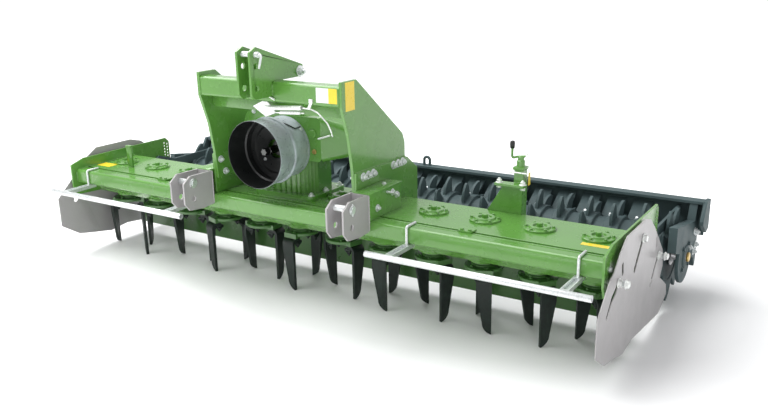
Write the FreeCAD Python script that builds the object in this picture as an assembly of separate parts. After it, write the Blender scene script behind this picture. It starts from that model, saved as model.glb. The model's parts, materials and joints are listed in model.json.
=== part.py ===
import FreeCAD, Part
import math
import os

os.makedirs("parts", exist_ok=True)
V = FreeCAD.Vector

# ---------------------------------------------------------------- driving sizes (mm)
# X runs across the machine, Y to the rear, Z up. Sizes are laid out from the rotor line
# (y = 0) and the floor; the model is moved in Y at the end to centre it on the origin.
ROTORS = 12
PITCH = 250.0                 # rotor spacing = gear diameter
HITCH_X = -50.0               # hitch and drive line sit a little left of the middle

# tines and rotor holders
TINE_TIP_Z = 0.0
TINE_R = 104.0                # tine mid-thickness from the rotor axis
TINE_T = 15.0
TINE_TOP_W = 68.0
TINE_LOW_W = 41.0             # width where the tip's curve starts
TINE_CURVE_H = 52.0           # height of the curved tip
TINE_SHOULDER_Z = 205.0       # the leading edge tapers from here down
TINE_BEND = 12.0              # inner radius where the blade turns in under the holder
TINE_FOOT_R = 60.0            # inner end of the foot that is bolted to the holder
ODD_PHASE = 35.0              # turn of the rotors at rest
ODD_STEP = -7.0
EVEN_PHASE = 41.0
EVEN_STEP = 7.5
HOLDER_Z = 262.0              # underside of the holder, top of the tine foot
HOLDER_T = 24.0
HOLDER_W = 76.0
HOLDER_REACH = 92.0
HUB_R = 52.0
HOLDER_DISC_R = 84.0
RUN_GAP = 0.5                 # running gap between rotor hub and its seat

# gear trough
TROUGH_INSET = 15.0           # trough end to half of the working width
TROUGH_FRONT = -150.0
TROUGH_REAR = 150.0
TROUGH_BOTTOM = 335.0
TROUGH_CHAMFER = 40.0
LID_T = 10.0
LID_TOP = 485.0
LID_FRONT = -168.0
LID_REAR = 155.0
SEAT_R = 68.0
SEAT_H = 28.0
CAP_R = 68.0
CAP_T = 10.0
CAP_NUT_R = 20.0
CAP_NUT_H = 20.0
CAP_CLEAR = 5.0               # a cap may reach this far under a headstock bracket's plane

# front beam and its tabs
BEAM_FRONT = -258.0
BEAM_DEPTH = 76.0
BEAM_H = 72.0
BEAM_WALL = 8.0
BEAM_ROUND = 12.0
TAB_W = 60.0
TAB_T = 8.0
TAB_XS = (-880.0, 880.0)
WEB_T = 12.0
WEB_XS = (-1200.0, -700.0, -300.0, 200.0, 700.0, 1200.0)

# end plates
END_T = 10.0
END_FRONT = -288.0
END_TOE_Z = 345.0
END_TOP = 540.0
END_REAR = 430.0
END_REAR_LOW = 395.0
END_LOW = 333.0               # lowest edge between toe and heel
END_LOW_YS = (-60.0, 300.0)
END_TOP_Y = -200.0            # the top edge falls to the front from here
END_CORNER = 25.0
END_HOLE_R = 6.0
END_HOLES = 6                 # height-setting holes, two staggered rows
END_HOLE_STEP = 18.0
END_HOLE_DOWN = 40.0
END_HOLE_IN = (14.0, 36.0)    # the two rows, from the rear edge

# side shields and their guide studs
SHIELD_T = 5.0
SHIELD_OFF = 20.0             # end plate outer face to shield inner face
SHIELD_OUTLINE = ((-399.0, 161.0), (-399.0, 316.0), (-190.0, 502.0), (-110.0, 549.0), (140.0, 549.0),
                  (215.0, 528.0), (290.0, 472.0), (455.0, 322.0), (474.0, 240.0), (440.0, 198.0),
                  (568.0, 120.0), (582.0, 67.0), (466.0, 15.0), (50.0, 58.0), (-70.0, 44.0),
                  (-290.0, 88.0))
SLOT_TRAVEL = 140.0
SLOT_ANGLE = 49.0             # slots run down and forward from the stud
SLOT_HALF = 12.0
SHIELD_HOLES = (((-148.0, 446.0), (-142.0, 414.0), 11.0), ((333.0, 412.0), (345.0, 372.0), 5.0))
SHIELD_LEFT_UP = 33.0         # the left shield rests this far up its slots
STUD_R = 8.0
STUDS = ((-197.0, 392.0), (110.0, 478.0), (375.0, 322.0))
WASHER_R = 17.0
WASHER_T = 5.0
WASHER_GAP = 0.5
STUD_SPACER_R = 14.0
STUD_HEAD_R = 12.0
STUD_HEAD_H = 8.0

# headstock
HEAD_HALF = 395.0             # to the inner face of the side plates
HEAD_PLATE_T = 15.0
HEAD_TUBE_FRONT = -305.0
HEAD_TUBE_D = 82.0
HEAD_TUBE_H = 90.0
HEAD_TUBE_TOP = 1063.0
HEAD_TUBE_WALL = 8.0
HEAD_TUBE_ROUND = 14.0
HEAD_RISE = 19.0              # side plates stand this far above the tube
HEAD_LOW = 560.0
HEAD_NECK = ((-195.0, 0.0), (176.0, -297.0), (195.0, -343.0))   # rear edge: y, and z from the plate top
HEAD_FRONT = ((-229.0, 560.0), (-237.0, 690.0), (-260.0, 835.0))
HEAD_NOSE = 107.0             # straight front edge below the plate top
BRACKET_TOP = 680.0
BRACKET_FRONT = -234.0
BRACKET_REAR = 290.0
BRACKET_LOW = 400.0
BRACKET_T = 12.0
BRACKET_HEEL = ((194.0, 670.0), (290.0, 599.0))
BRACKET_CLEAR = 10.0          # lid edge to the bracket's rear leg
BRACKET_BOLT_DOWN = 25.0
BRACKET_BOLT_YS = (-182.0, -142.0, -102.0, 68.0, 108.0, 148.0)
BOLT_R = 13.0
BOLT_H = 10.0
BOX_W = 95.0
BOX_REAR = 0.0
BOX_H = 118.0
BOX_WALL = 8.0

# three point hitch, category 2 pin sizes
CLEVIS_NOSE = -448.0
CLEVIS_LOW = 438.0            # ear foot and top at the beam
CLEVIS_TOP = 602.0
CLEVIS_OUTLINE = ((-330.0, 432.0), (-420.0, 442.0), (CLEVIS_NOSE, 477.0), (CLEVIS_NOSE, 576.0),
                  (-405.0, 606.0))
CLEVIS_T = 9.0
CLEVIS_GAP = 75.0
CLEVIS_IN = 7.0               # head plate outer face to the clevis' inner ear
PIN_OVER = 12.0               # pin ends past the ears
CLIP_R = 3.0
CLIP_LEN = 52.0
CLIP_OUT = 6.0
LOWER_PIN_R = 14.0
LOWER_HOLE_R = 14.25
LOWER_PIN_Y = -390.0
LOWER_PIN_Z = 570.0
LOWER_HOLE_Z = 492.0
TOP_T = 12.0
TOP_GAP = 58.0
TOP_FRONT = -440.0
TOP_RISE = 159.0              # ear peak above the headstock tube
TOP_DROP = 63.0               # ear foot below the top of the tube
TOP_FALL = 106.0              # the ear's upper edge falls by this much to the rear
TOP_CORNER = (40.0, 19.0)     # from the front edge, and below the peak
TOP_FOOT_CORNER = 20.0
TOP_REAR = -85.0
TOP_PIN_R = 12.5
TOP_HOLE_R = 12.7
TOP_PIN_IN = 35.0             # pin line from the ears' front edge
TOP_PIN_DOWN = 32.0           # pin line below the peak
TOP_HOLES_DOWN = (50.0, 145.0)   # the two free holes below the pin
TOP_SPACER = (20.0, 50.0)     # thickness and height of the rear spacer between the ears
TOP_SPACER_IN = 40.0
SHOE_T = 12.0
SHOE_RISE = 20.0
PIN_HEAD_R = 22.0
PIN_HEAD_T = 8.0
HANDLE_R = 5.0
HANDLE_OUT = 22.0
HANDLE_BEND = 8.0
HANDLE_DROP = (20.0, 55.0)    # forward and down

# gearbox, drive stub and its guard
DRIVE_ROTOR = 6               # the gearbox stands over this rotor
GB_FOOT_HX = 178.0
GB_FOOT_F = -140.0
GB_FOOT_R = 140.0
GB_FOOT_T = 20.0
GB_FOOT_ROUND = 30.0
GB_COL_HX = 140.0
GB_COL_F = -95.0
GB_COL_R = 130.0
GB_COL_CHAMFER = 60.0
GB_FRONT = -95.0
GB_REAR = 110.0
GB_LOW = 668.0
GB_TOP_Z = 875.0
GB_RIGHT = 208.0              # right side of the main body from the input line
GB_ROUND = 22.0
GB_LOBE_X = -125.0            # round gear housing left of the input line
GB_LOBE_Z = 783.0
GB_LOBE_R = 134.0
GB_BELL_L = 150.0             # tapered side housing
GB_BELL_F = -30.0
GB_BELL_B = 90.0
GB_BELL_LOW = 700.0
GB_BELL_TOP = 822.0
GB_BELL_ROUND = 30.0
GB_LID = (-75.0, 85.0, -70.0, 80.0, 14.0)   # top cover: x range from the input line, y range, thickness
GB_REAR_CAP_R = 72.0
GB_REAR_CAP_L = 30.0
GB_NOSE_R = 120.0
GB_NOSE_F = -125.0
PTO_Z = 727.0
PTO_R = 17.5
PTO_LEN = 108.0
PTO_COLLAR_R = 38.0
PTO_COLLAR_L = 22.0
PTO_GAP = 0.5
GUARD_R = 157.0               # at the mouth
GUARD_REAR_R = 145.0
GUARD_T = 4.0
GUARD_FRONT = -322.0
GUARD_RING_Y = -212.0
GUARD_RING_R = 157.0
GUARD_RING_W = 14.0
REST_T = 6.0                  # shaft rest: plate, tube and clip under the headstock tube
REST_PLATE = ((-80.0, -18.0), (-60.0, 0.0), (20.0, 0.0), (20.0, -68.0), (-10.0, -68.0))
REST_DOWN = 28.0
REST_ROD_R = 10.0
REST_ROD_L = 190.0
REST_CLIP_W = 10.0
REST_CLIP_D = 12.0

# guard rails
RAIL_R = 13.5
RAIL_WALL = 3.0
RAIL_Y = -414.0
RAIL_Z = 400.0
RAIL_IN = 530.0
RAIL_SIDE = 1.0               # rail end to the end plate's outer face
RAIL_ARM_INS = (111.0, 106.0) # arms from the inner and the outer end of the rail
RAIL_ARM_W = 34.0
RAIL_ARM_H = 18.0
RAIL_ARM_WALL = 5.0
RAIL_ARM_LAP = 30.0           # arms reach this far under the beam
HOOK_R = 6.0
HOOK_TAIL_Y = -190.0

# levelling bar and its adjusters
LEVEL_Y = 168.0               # front face of the sheet
LEVEL_T = 8.0
LEVEL_LOW = 72.0
LEVEL_H = 150.0
LEVEL_LIP = 30.0
LEVEL_SIDE = 20.0             # board end to the end plate
LEVEL_UP = 90.0
POST_W = 44.0
POST_WALL = 6.0
POST_LOW = 345.0
POST_TOP = 690.0
POST_XS = (-636.0, 958.0)
STEM_PLAY = 0.5
SPINDLE_R = 12.0
SPINDLE_TOP = 727.0
CRANK_TOP = 803.0
CRANK_T = 24.0
CRANK_W = 22.0
CRANK_LEVER = (-44.0, 14.0)   # the lever's two ends from the spindle
CRANK_LEVER_H = 10.0
POST_WING = 120.0
POST_WING_T = 10.0
POST_WING_Z = 612.0
POST_WING_SLOPE = 77.0
SHELF_D = 45.0
SHELF_T = 12.0
SHELF_IN = 47.0               # shelf ends from the wing's foot and from the post
SHELF_OUT = 20.0
STEM_LAP = 60.0               # stem reaches this far down behind the board
STEM_TOP_PLAY = 5.0

# packer roller and its frame
ROLL_Y = 695.0
TOOTH_R = 225.0               # tooth tips; the lowest one stands on the floor
RIM_R = 147.0                 # tooth feet
DRUM_R = 130.0
DRUM_WALL = 8.0
RING_PITCH = 130.0
RING_T = 14.0
TEETH = 9
TOOTH = ((-24.0, 147.0), (-14.0, 190.0), (0.0, 225.0), (7.0, 147.0))   # degrees from the tip, radius
RING_TURNS = (5.5, -11.0)     # tip angle from straight up, for even and odd rings
JOURNAL_R = 22.0
JOURNAL_PAST = 8.0            # past the outer arm's face
JOURNAL_PLAY = 0.05
JOURNAL_CLEAR = 8.0           # around the journal inside the outer arm
FLANGE_R = 50.0
FLANGE_T = 5.0
ARM_GAP = 7.0                 # side shield to the outer arm
ARM_W = 38.0
ARM_SIDE = ((505.0, 293.0), (505.0, 412.0), (850.0, 352.0), (883.0, 434.0))   # up to the rear beam
ARM_LUG = ((924.0, 150.0), (916.0, 110.0), (898.0, 110.0), (870.0, 160.0), (797.0, 201.0))
SKIRT_T = 16.0                # bearing plate, flush with the arm's outer face
SKIRT_R = 124.0
CHEEK_T = 14.0
CHEEK_GAP = 5.0               # end plate inner face to the cheek
CHEEK_LOW = 365.0             # lower and upper edge at the rear beam
CHEEK_TOP = 405.0
CHEEK_NECK = 120.0            # from the pivot to where the cheek gets narrow
PIVOT_Y = 330.0
PIVOT_Z = 400.0
PIVOT_R = 16.0
PIVOT_PLAY = 0.05
PIVOT_NOSE = 45.0             # cheek around the pivot
PIVOT_PAST = 8.0
BACK_HALF = 1610.0            # rear beam with its end caps, from the middle
BACK_FRONT = 872.0
BACK_WEB_REAR = 932.0
BACK_TOP = 442.0
BACK_LOW = 262.0
BACK_T = 8.0
BACK_LIP = 14.0               # the flange's front edge turns down
CAP_SIDE_T = 18.0
CAP_SIDE = ((865.0, 446.0), (938.0, 446.0), (938.0, 302.0), (890.0, 290.0), (812.0, 345.0), (812.0, 362.0))
SCRAPER_GAP = 6.0             # to the drum
SCRAPER_SIDE = 12.0           # to the rings beside it
SCRAPER_ANGLE = 45.0          # from straight up, to the rear
SCRAPER_TOP = 400.0           # where the blade meets the rear beam's web
SCRAPER_T = 12.0
EYE_X = 78.0
EYE_HALF = 18.0
EYE_H = 55.0
EYE_R = 8.0

Y_MID = (CLEVIS_NOSE + CAP_SIDE[1][0]) / 2.0
MOVE = V(0, -Y_MID, 0)

NODES = {}


# ---------------------------------------------------------------- helpers
def box(x0, x1, y0, y1, z0, z1):
    return Part.makeBox(x1 - x0, y1 - y0, z1 - z0, V(x0, y0, z0))


def cyl(r, p, axis, length):
    return Part.makeCylinder(r, length, V(*p), V(*axis))


def prism_x(pts, x0, x1):
    """Extrude a (y, z) outline from x0 to x1."""
    w = Part.makePolygon([V(x0, y, z) for y, z in pts + [pts[0]]])
    return Part.Face(w).extrude(V(x1 - x0, 0, 0))


def prism_y(pts, y0, y1):
    """Extrude an (x, z) outline from y0 to y1."""
    w = Part.makePolygon([V(x, y0, z) for x, z in pts + [pts[0]]])
    return Part.Face(w).extrude(V(0, y1 - y0, 0))


def prism_z(pts, z0, z1):
    w = Part.makePolygon([V(x, y, z0) for x, y in pts + [pts[0]]])
    return Part.Face(w).extrude(V(0, 0, z1 - z0))


def fuse(shapes):
    out = shapes[0]
    if len(shapes) > 1:
        out = shapes[0].multiFuse(shapes[1:])
    return out.removeSplitter()


def tube_x(x0, x1, y0, y1, z0, z1, wall, rnd):
    outer = box(x0, x1, y0, y1, z0, z1)
    long_edges = [e for e in outer.Edges if abs(e.Vertexes[0].X - e.Vertexes[1].X) > 1.0]
    outer = outer.makeFillet(rnd, long_edges)
    inner = box(x0, x1, y0 + wall, y1 - wall, z0 + wall, z1 - wall)
    return outer.cut(inner)


def edges_along(shape, axis):
    """Edges that run along one axis: 0, 1 or 2."""
    found = []
    for e in shape.Edges:
        step = e.Vertexes[0].Point - e.Vertexes[-1].Point
        rest = [abs(step[k]) for k in range(3) if k != axis]
        if abs(step[axis]) > 1.0 and max(rest) < 0.01:
            found.append(e)
    return found


def rounded_rect_x(x, y0, y1, z0, z1, r):
    """Closed wire in the plane X = x, with round corners."""
    h = r * (1.0 - math.sqrt(0.5))
    runs = [((y0 + r, z0), (y1 - r, z0), (y1 - h, z0 + h)), ((y1, z0 + r), (y1, z1 - r), (y1 - h, z1 - h)),
            ((y1 - r, z1), (y0 + r, z1), (y0 + h, z1 - h)), ((y0, z1 - r), (y0, z0 + r), (y0 + h, z0 + h))]
    edges = []
    for k, (a, b, m) in enumerate(runs):
        c = runs[(k + 1) % 4][0]
        edges.append(Part.LineSegment(V(x, *a), V(x, *b)).toShape())
        edges.append(Part.Arc(V(x, *b), V(x, *m), V(x, *c)).toShape())
    return Part.Wire(edges)


def mirror_x(shape, about):
    return shape.mirror(V(about, 0, 0), V(1, 0, 0))


def bolt(p, axis, head_r, head_h):
    """A hex head standing on a face."""
    n = V(*axis)
    n.normalize()
    side = V(0, 0, 1) if abs(n.z) < 0.9 else V(1, 0, 0)
    u = n.cross(side)
    u.normalize()
    w = n.cross(u)
    pts = []
    for k in range(7):
        a = math.radians(60 * k)
        pts.append(V(*p) + u * (head_r * math.cos(a)) + w * (head_r * math.sin(a)))
    return Part.Face(Part.makePolygon(pts)).extrude(n * head_h)


def rod(points, r, bend):
    """Round bar through points, with tangent arcs at the bends."""
    pts = [V(*p) for p in points]
    edges = []
    last = pts[0]
    for i in range(1, len(pts) - 1):
        a = (pts[i - 1] - pts[i])
        b = (pts[i + 1] - pts[i])
        a.normalize()
        b.normalize()
        half = math.acos(max(-1.0, min(1.0, a.dot(b)))) / 2.0
        back = bend / math.tan(half)
        p1 = pts[i] + a * back
        p2 = pts[i] + b * back
        m = a + b
        m.normalize()
        centre = pts[i] + m * (bend / math.sin(half))
        mid = centre - m * bend
        edges.append(Part.LineSegment(last, p1).toShape())
        edges.append(Part.Arc(p1, mid, p2).toShape())
        last = p2
    edges.append(Part.LineSegment(last, pts[-1]).toShape())
    path = Part.Wire(edges)
    d = pts[1] - pts[0]
    prof = Part.Wire([Part.Circle(pts[0], d, r).toShape()])
    return path.makePipeShell([prof], True, True)


def add(name, shape):
    NODES[name] = shape


# ---------------------------------------------------------------- gear trough and lid
TROUGH_HALF = ROTORS * PITCH / 2.0 - TROUGH_INSET
END_IN = TROUGH_HALF
END_OUT = END_IN + END_T
rotor_x = [(i - (ROTORS - 1) / 2.0) * PITCH for i in range(ROTORS)]
GB_X = rotor_x[DRIVE_ROTOR - 1]
c = TROUGH_CHAMFER
trough = prism_x([(TROUGH_FRONT, LID_TOP - LID_T), (TROUGH_FRONT, TROUGH_BOTTOM + c),
                  (TROUGH_FRONT + c, TROUGH_BOTTOM), (TROUGH_REAR - c, TROUGH_BOTTOM),
                  (TROUGH_REAR, TROUGH_BOTTOM + c), (TROUGH_REAR, LID_TOP - LID_T)],
                 -TROUGH_HALF, TROUGH_HALF)
seats = [cyl(SEAT_R, (x, 0, TROUGH_BOTTOM - SEAT_H), (0, 0, 1), SEAT_H + 1) for x in rotor_x]
BEAM_TOP = LID_TOP
BEAM_LOW = BEAM_TOP - BEAM_H
BEAM_REAR = BEAM_FRONT + BEAM_DEPTH
webs = [box(x - WEB_T / 2, x + WEB_T / 2, BEAM_REAR, TROUGH_FRONT + 1, BEAM_LOW + BEAM_WALL,
            LID_TOP - LID_T) for x in WEB_XS]
add("gear_trough", fuse([trough] + seats + webs))
lid = box(-TROUGH_HALF, TROUGH_HALF, LID_FRONT, LID_REAR, LID_TOP - LID_T, LID_TOP)
tabs = [box(x - TAB_W / 2, x + TAB_W / 2, BEAM_REAR - BEAM_DEPTH / 4, LID_FRONT + BEAM_DEPTH / 4,
            LID_TOP, LID_TOP + TAB_T) for x in TAB_XS]
add("trough_lid", fuse([lid] + tabs))
caps = []
for k, x in enumerate(rotor_x):
    under_gearbox = abs(x - GB_X) < GB_FOOT_HX
    under_bracket = abs(abs(x - HITCH_X) - HEAD_HALF - HEAD_PLATE_T) < CAP_R - CAP_CLEAR
    if under_gearbox or under_bracket:
        continue
    base = cyl(CAP_R, (x, 0, LID_TOP), (0, 0, 1), CAP_T)
    nut = bolt((x, 0, LID_TOP + CAP_T), (0, 0, 1), CAP_NUT_R, CAP_NUT_H)
    caps.append(fuse([base, nut]))
add("rotor_caps", caps)

# ---------------------------------------------------------------- front beam and end plates
add("front_beam", tube_x(-TROUGH_HALF, TROUGH_HALF, BEAM_FRONT, BEAM_REAR, BEAM_LOW, BEAM_TOP,
                         BEAM_WALL, BEAM_ROUND))
end_pts = [(END_FRONT, END_TOE_Z + 2 * END_CORNER), (END_FRONT + END_CORNER, END_TOE_Z),
           (END_LOW_YS[0], END_LOW), (END_LOW_YS[1], END_LOW), (END_REAR, END_REAR_LOW),
           (END_REAR, END_TOP - END_CORNER),
           (END_REAR - END_CORNER, END_TOP), (END_TOP_Y, END_TOP), (END_FRONT, END_TOP - END_CORNER)]
end_plate = prism_x(end_pts, END_IN, END_OUT)
end_plate = end_plate.cut(cyl(PIVOT_R, (END_IN - 1, PIVOT_Y, PIVOT_Z), (1, 0, 0), END_T + 2))
for k in range(END_HOLES):
    for row, inset in enumerate(END_HOLE_IN):
        z = END_TOP - END_HOLE_DOWN - (k - row / 2.0) * END_HOLE_STEP
        end_plate = end_plate.cut(cyl(END_HOLE_R, (END_IN - 1, END_REAR - inset, z), (1, 0, 0), END_T + 2))
add("end_plate_right", end_plate)
add("end_plate_left", mirror_x(end_plate, 0))

# ---------------------------------------------------------------- side shields on inclined slots
sh_in = END_OUT + SHIELD_OFF
sh_out = sh_in + SHIELD_T
sa = math.radians(SLOT_ANGLE)
slot_dir = (-math.cos(sa), -math.sin(sa))
shield = prism_x(list(SHIELD_OUTLINE), sh_in, sh_out)
long_holes = [((y, z), (y + slot_dir[0] * SLOT_TRAVEL, z + slot_dir[1] * SLOT_TRAVEL), SLOT_HALF)
              for y, z in STUDS]
for (y, z), (y2, z2), half in long_holes + list(SHIELD_HOLES):
    long = math.hypot(y2 - y, z2 - z)
    ny, nz = (z - z2) * half / long, (y2 - y) * half / long
    for end_y, end_z in ((y, z), (y2, z2)):
        shield = shield.cut(cyl(half, (sh_in - 1, end_y, end_z), (1, 0, 0), SHIELD_T + 2))
    shield = shield.cut(prism_x([(y + ny, z + nz), (y2 + ny, z2 + nz), (y2 - ny, z2 - nz),
                                 (y - ny, z - nz)], sh_in - 1, sh_out + 1))
add("side_shield_right", shield)
shield_left = mirror_x(shield, 0)
shield_left.translate(V(0, -slot_dir[0] * SHIELD_LEFT_UP, -slot_dir[1] * SHIELD_LEFT_UP))
add("side_shield_left", shield_left)
studs = []
for y, z in STUDS:
    spacer = cyl(STUD_SPACER_R, (END_OUT, y, z), (1, 0, 0), SHIELD_OFF - WASHER_GAP)
    shank = cyl(STUD_R, (END_OUT, y, z), (1, 0, 0), SHIELD_OFF + SHIELD_T + WASHER_GAP + 1)
    washer = cyl(WASHER_R, (sh_out + WASHER_GAP, y, z), (1, 0, 0), WASHER_T)
    head = bolt((sh_out + WASHER_GAP + WASHER_T, y, z), (1, 0, 0), STUD_HEAD_R, STUD_HEAD_H)
    studs.append(fuse([spacer, shank, washer, head]))
add("shield_studs", studs + [mirror_x(s, 0) for s in studs])

# ---------------------------------------------------------------- headstock
hr = HITCH_X + HEAD_HALF
tube_back = HEAD_TUBE_FRONT + HEAD_TUBE_D
tube_low = HEAD_TUBE_TOP - HEAD_TUBE_H
add("headstock_tube", tube_x(HITCH_X - HEAD_HALF, hr, HEAD_TUBE_FRONT, tube_back, tube_low,
                             HEAD_TUBE_TOP, HEAD_TUBE_WALL, HEAD_TUBE_ROUND))
head_top = HEAD_TUBE_TOP + HEAD_RISE
side_pts = [(HEAD_TUBE_FRONT, head_top)] + [(y, head_top + z) for y, z in HEAD_NECK]
side_pts += [(HEAD_NECK[-1][0], HEAD_LOW)] + list(HEAD_FRONT) + [(HEAD_TUBE_FRONT, head_top - HEAD_NOSE)]
side = prism_x(side_pts, hr, hr + HEAD_PLATE_T)
add("headstock_side_right", side)
add("headstock_side_left", mirror_x(side, HITCH_X))
bx0 = hr + HEAD_PLATE_T
leg = LID_REAR + BRACKET_CLEAR
br_pts = [(BRACKET_FRONT, BRACKET_TOP)] + list(BRACKET_HEEL)
br_pts += [(BRACKET_REAR, BRACKET_LOW), (leg, BRACKET_LOW), (leg, LID_TOP), (BRACKET_FRONT, LID_TOP)]
bracket = prism_x(br_pts, bx0, bx0 + BRACKET_T)
bolts = [bolt((bx0 + BRACKET_T, y, BRACKET_TOP - BRACKET_BOLT_DOWN), (1, 0, 0), BOLT_R, BOLT_H)
         for y in BRACKET_BOLT_YS]
bracket = fuse([bracket] + bolts)
add("headstock_bracket_right", bracket)
add("headstock_bracket_left", mirror_x(bracket, HITCH_X))
hx0 = bx0 + BRACKET_T
hbox = box(hx0, hx0 + BOX_W - BRACKET_T, BEAM_FRONT, BOX_REAR, LID_TOP, LID_TOP + BOX_H)
hbox = hbox.cut(box(hx0, hx0 + BOX_W - BRACKET_T - BOX_WALL, BEAM_FRONT + BOX_WALL,
                    BOX_REAR, LID_TOP, LID_TOP + BOX_H - BOX_WALL))
add("hitch_boxes", [hbox, mirror_x(hbox, HITCH_X)])

# ---------------------------------------------------------------- lower link clevises
cx0 = bx0 - CLEVIS_T + CLEVIS_IN
cx1 = cx0 + 2 * CLEVIS_T + CLEVIS_GAP
cl_pts = [(BEAM_FRONT, CLEVIS_LOW)] + list(CLEVIS_OUTLINE) + [(BEAM_FRONT, CLEVIS_TOP)]


def ear(x0):
    e = prism_x(cl_pts, x0, x0 + CLEVIS_T)
    e = e.cut(cyl(LOWER_HOLE_R, (x0 - 1, LOWER_PIN_Y, LOWER_PIN_Z), (1, 0, 0), CLEVIS_T + 2))
    return e.cut(cyl(LOWER_HOLE_R, (x0 - 1, LOWER_PIN_Y, LOWER_HOLE_Z), (1, 0, 0), CLEVIS_T + 2))


back = box(cx0, cx1, BEAM_FRONT - CLEVIS_T, BEAM_FRONT, CLEVIS_LOW, CLEVIS_TOP)
clevis = fuse([ear(cx0), ear(cx1 - CLEVIS_T), back])
add("lower_clevis_right", clevis)
add("lower_clevis_left", mirror_x(clevis, HITCH_X))
pin = cyl(LOWER_PIN_R, (cx0 - PIN_OVER, LOWER_PIN_Y, LOWER_PIN_Z), (1, 0, 0), cx1 - cx0 + 2 * PIN_OVER)
pin_head = cyl(PIN_HEAD_R, (cx0 - PIN_HEAD_T, LOWER_PIN_Y, LOWER_PIN_Z), (1, 0, 0), PIN_HEAD_T)
clip = cyl(CLIP_R, (cx1 + CLIP_OUT, LOWER_PIN_Y, LOWER_PIN_Z - CLIP_LEN / 2), (0, 0, 1), CLIP_LEN)
lower_pin = fuse([pin, pin_head, clip])
add("lower_link_pins", [lower_pin, mirror_x(lower_pin, HITCH_X)])

# ---------------------------------------------------------------- top link clevis
peak = HEAD_TUBE_TOP + TOP_RISE
top_foot = HEAD_TUBE_TOP - TOP_DROP
top_pin_y = TOP_FRONT + TOP_PIN_IN
top_pin_z = peak - TOP_PIN_DOWN
tl_pts = [(TOP_FRONT, top_foot + TOP_FOOT_CORNER), (TOP_FRONT, peak - TOP_CORNER[1]),
          (TOP_FRONT + TOP_CORNER[0], peak), (TOP_REAR, peak - TOP_FALL), (TOP_REAR, HEAD_TUBE_TOP),
          (HEAD_TUBE_FRONT, HEAD_TUBE_TOP),
          (HEAD_TUBE_FRONT, top_foot), (TOP_FRONT + TOP_FOOT_CORNER, top_foot)]


def top_ear(x0):
    e = prism_x(tl_pts, x0, x0 + TOP_T)
    for down in (0.0,) + TOP_HOLES_DOWN:
        e = e.cut(cyl(TOP_HOLE_R, (x0 - 1, top_pin_y, top_pin_z - down), (1, 0, 0), TOP_T + 2))
    return e


t0 = HITCH_X - TOP_GAP / 2 - TOP_T
t1 = HITCH_X + TOP_GAP / 2 + TOP_T
spacer_y = TOP_REAR - TOP_SPACER_IN - TOP_SPACER[0]
spacer = box(t0 + TOP_T, t1 - TOP_T, spacer_y, spacer_y + TOP_SPACER[0], HEAD_TUBE_TOP,
             HEAD_TUBE_TOP + TOP_SPACER[1])
shoe = box(t0 + TOP_T, t1 - TOP_T, HEAD_TUBE_FRONT - SHOE_T, HEAD_TUBE_FRONT, top_foot,
           HEAD_TUBE_TOP + SHOE_RISE)
add("top_link_clevis", fuse([top_ear(t0), top_ear(t1 - TOP_T), spacer, shoe]))
tp = cyl(TOP_PIN_R, (t0 - PIN_OVER, top_pin_y, top_pin_z), (1, 0, 0), t1 - t0 + 2 * PIN_OVER + HANDLE_R)
th = cyl(PIN_HEAD_R, (t0 - PIN_OVER - PIN_HEAD_T, top_pin_y, top_pin_z), (1, 0, 0), PIN_HEAD_T)
hx = t1 + PIN_OVER
handle = rod([(hx, top_pin_y, top_pin_z), (hx + HANDLE_OUT, top_pin_y, top_pin_z),
              (hx + HANDLE_OUT, top_pin_y - HANDLE_DROP[0], top_pin_z - HANDLE_DROP[1])],
             HANDLE_R, HANDLE_BEND)
add("top_link_pin", fuse([tp, th, handle]))

# ---------------------------------------------------------------- gearbox, stub and guard
foot = box(GB_X - GB_FOOT_HX, GB_X + GB_FOOT_HX, GB_FOOT_F, GB_FOOT_R, LID_TOP, LID_TOP + GB_FOOT_T)
foot = foot.makeFillet(GB_FOOT_ROUND, edges_along(foot, 2))
column = box(GB_X - GB_COL_HX, GB_X + GB_COL_HX, GB_COL_F, GB_COL_R, LID_TOP, GB_LOW + GB_ROUND)
column = column.makeChamfer(GB_COL_CHAMFER, edges_along(column, 2))
right = GB_X + GB_RIGHT
body = box(GB_X + GB_LOBE_X, right, GB_FRONT, GB_REAR, GB_LOW, GB_TOP_Z)
body = body.makeFillet(GB_ROUND, [e for e in edges_along(body, 1) if e.Vertexes[0].X > GB_X])
lobe = cyl(GB_LOBE_R, (GB_X + GB_LOBE_X, GB_FRONT, GB_LOBE_Z), (0, 1, 0), GB_REAR - GB_FRONT)
bell = Part.makeLoft([rounded_rect_x(right, GB_FRONT, GB_REAR, GB_LOW, GB_TOP_Z, GB_ROUND),
                      rounded_rect_x(right + GB_BELL_L, GB_BELL_F, GB_BELL_B, GB_BELL_LOW, GB_BELL_TOP,
                                     GB_BELL_ROUND)], True, True)
lx0, lx1, ly0, ly1, lt = GB_LID
top_cover = box(GB_X + lx0, GB_X + lx1, ly0, ly1, GB_TOP_Z, GB_TOP_Z + lt)
nose = cyl(GB_NOSE_R, (GB_X, GB_NOSE_F, PTO_Z), (0, 1, 0), GB_FRONT - GB_NOSE_F + GB_ROUND)
rear_cap = cyl(GB_REAR_CAP_R, (GB_X, GB_REAR, PTO_Z + GB_REAR_CAP_L), (0, 1, 0), GB_REAR_CAP_L)
add("gearbox", fuse([foot, column, body, lobe, bell, top_cover, nose, rear_cap]))
stub = fuse([cyl(PTO_COLLAR_R, (GB_X, GB_NOSE_F - PTO_GAP - PTO_COLLAR_L, PTO_Z), (0, 1, 0), PTO_COLLAR_L),
             cyl(PTO_R, (GB_X, GB_NOSE_F - PTO_GAP - PTO_COLLAR_L - PTO_LEN, PTO_Z), (0, 1, 0),
                 PTO_LEN + 1)])
add("pto_stub", stub)
g_len = GB_COL_F - GUARD_FRONT
mouth = V(GB_X, GUARD_FRONT, PTO_Z)
guard = Part.makeCone(GUARD_R, GUARD_REAR_R, g_len, mouth, V(0, 1, 0))
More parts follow.
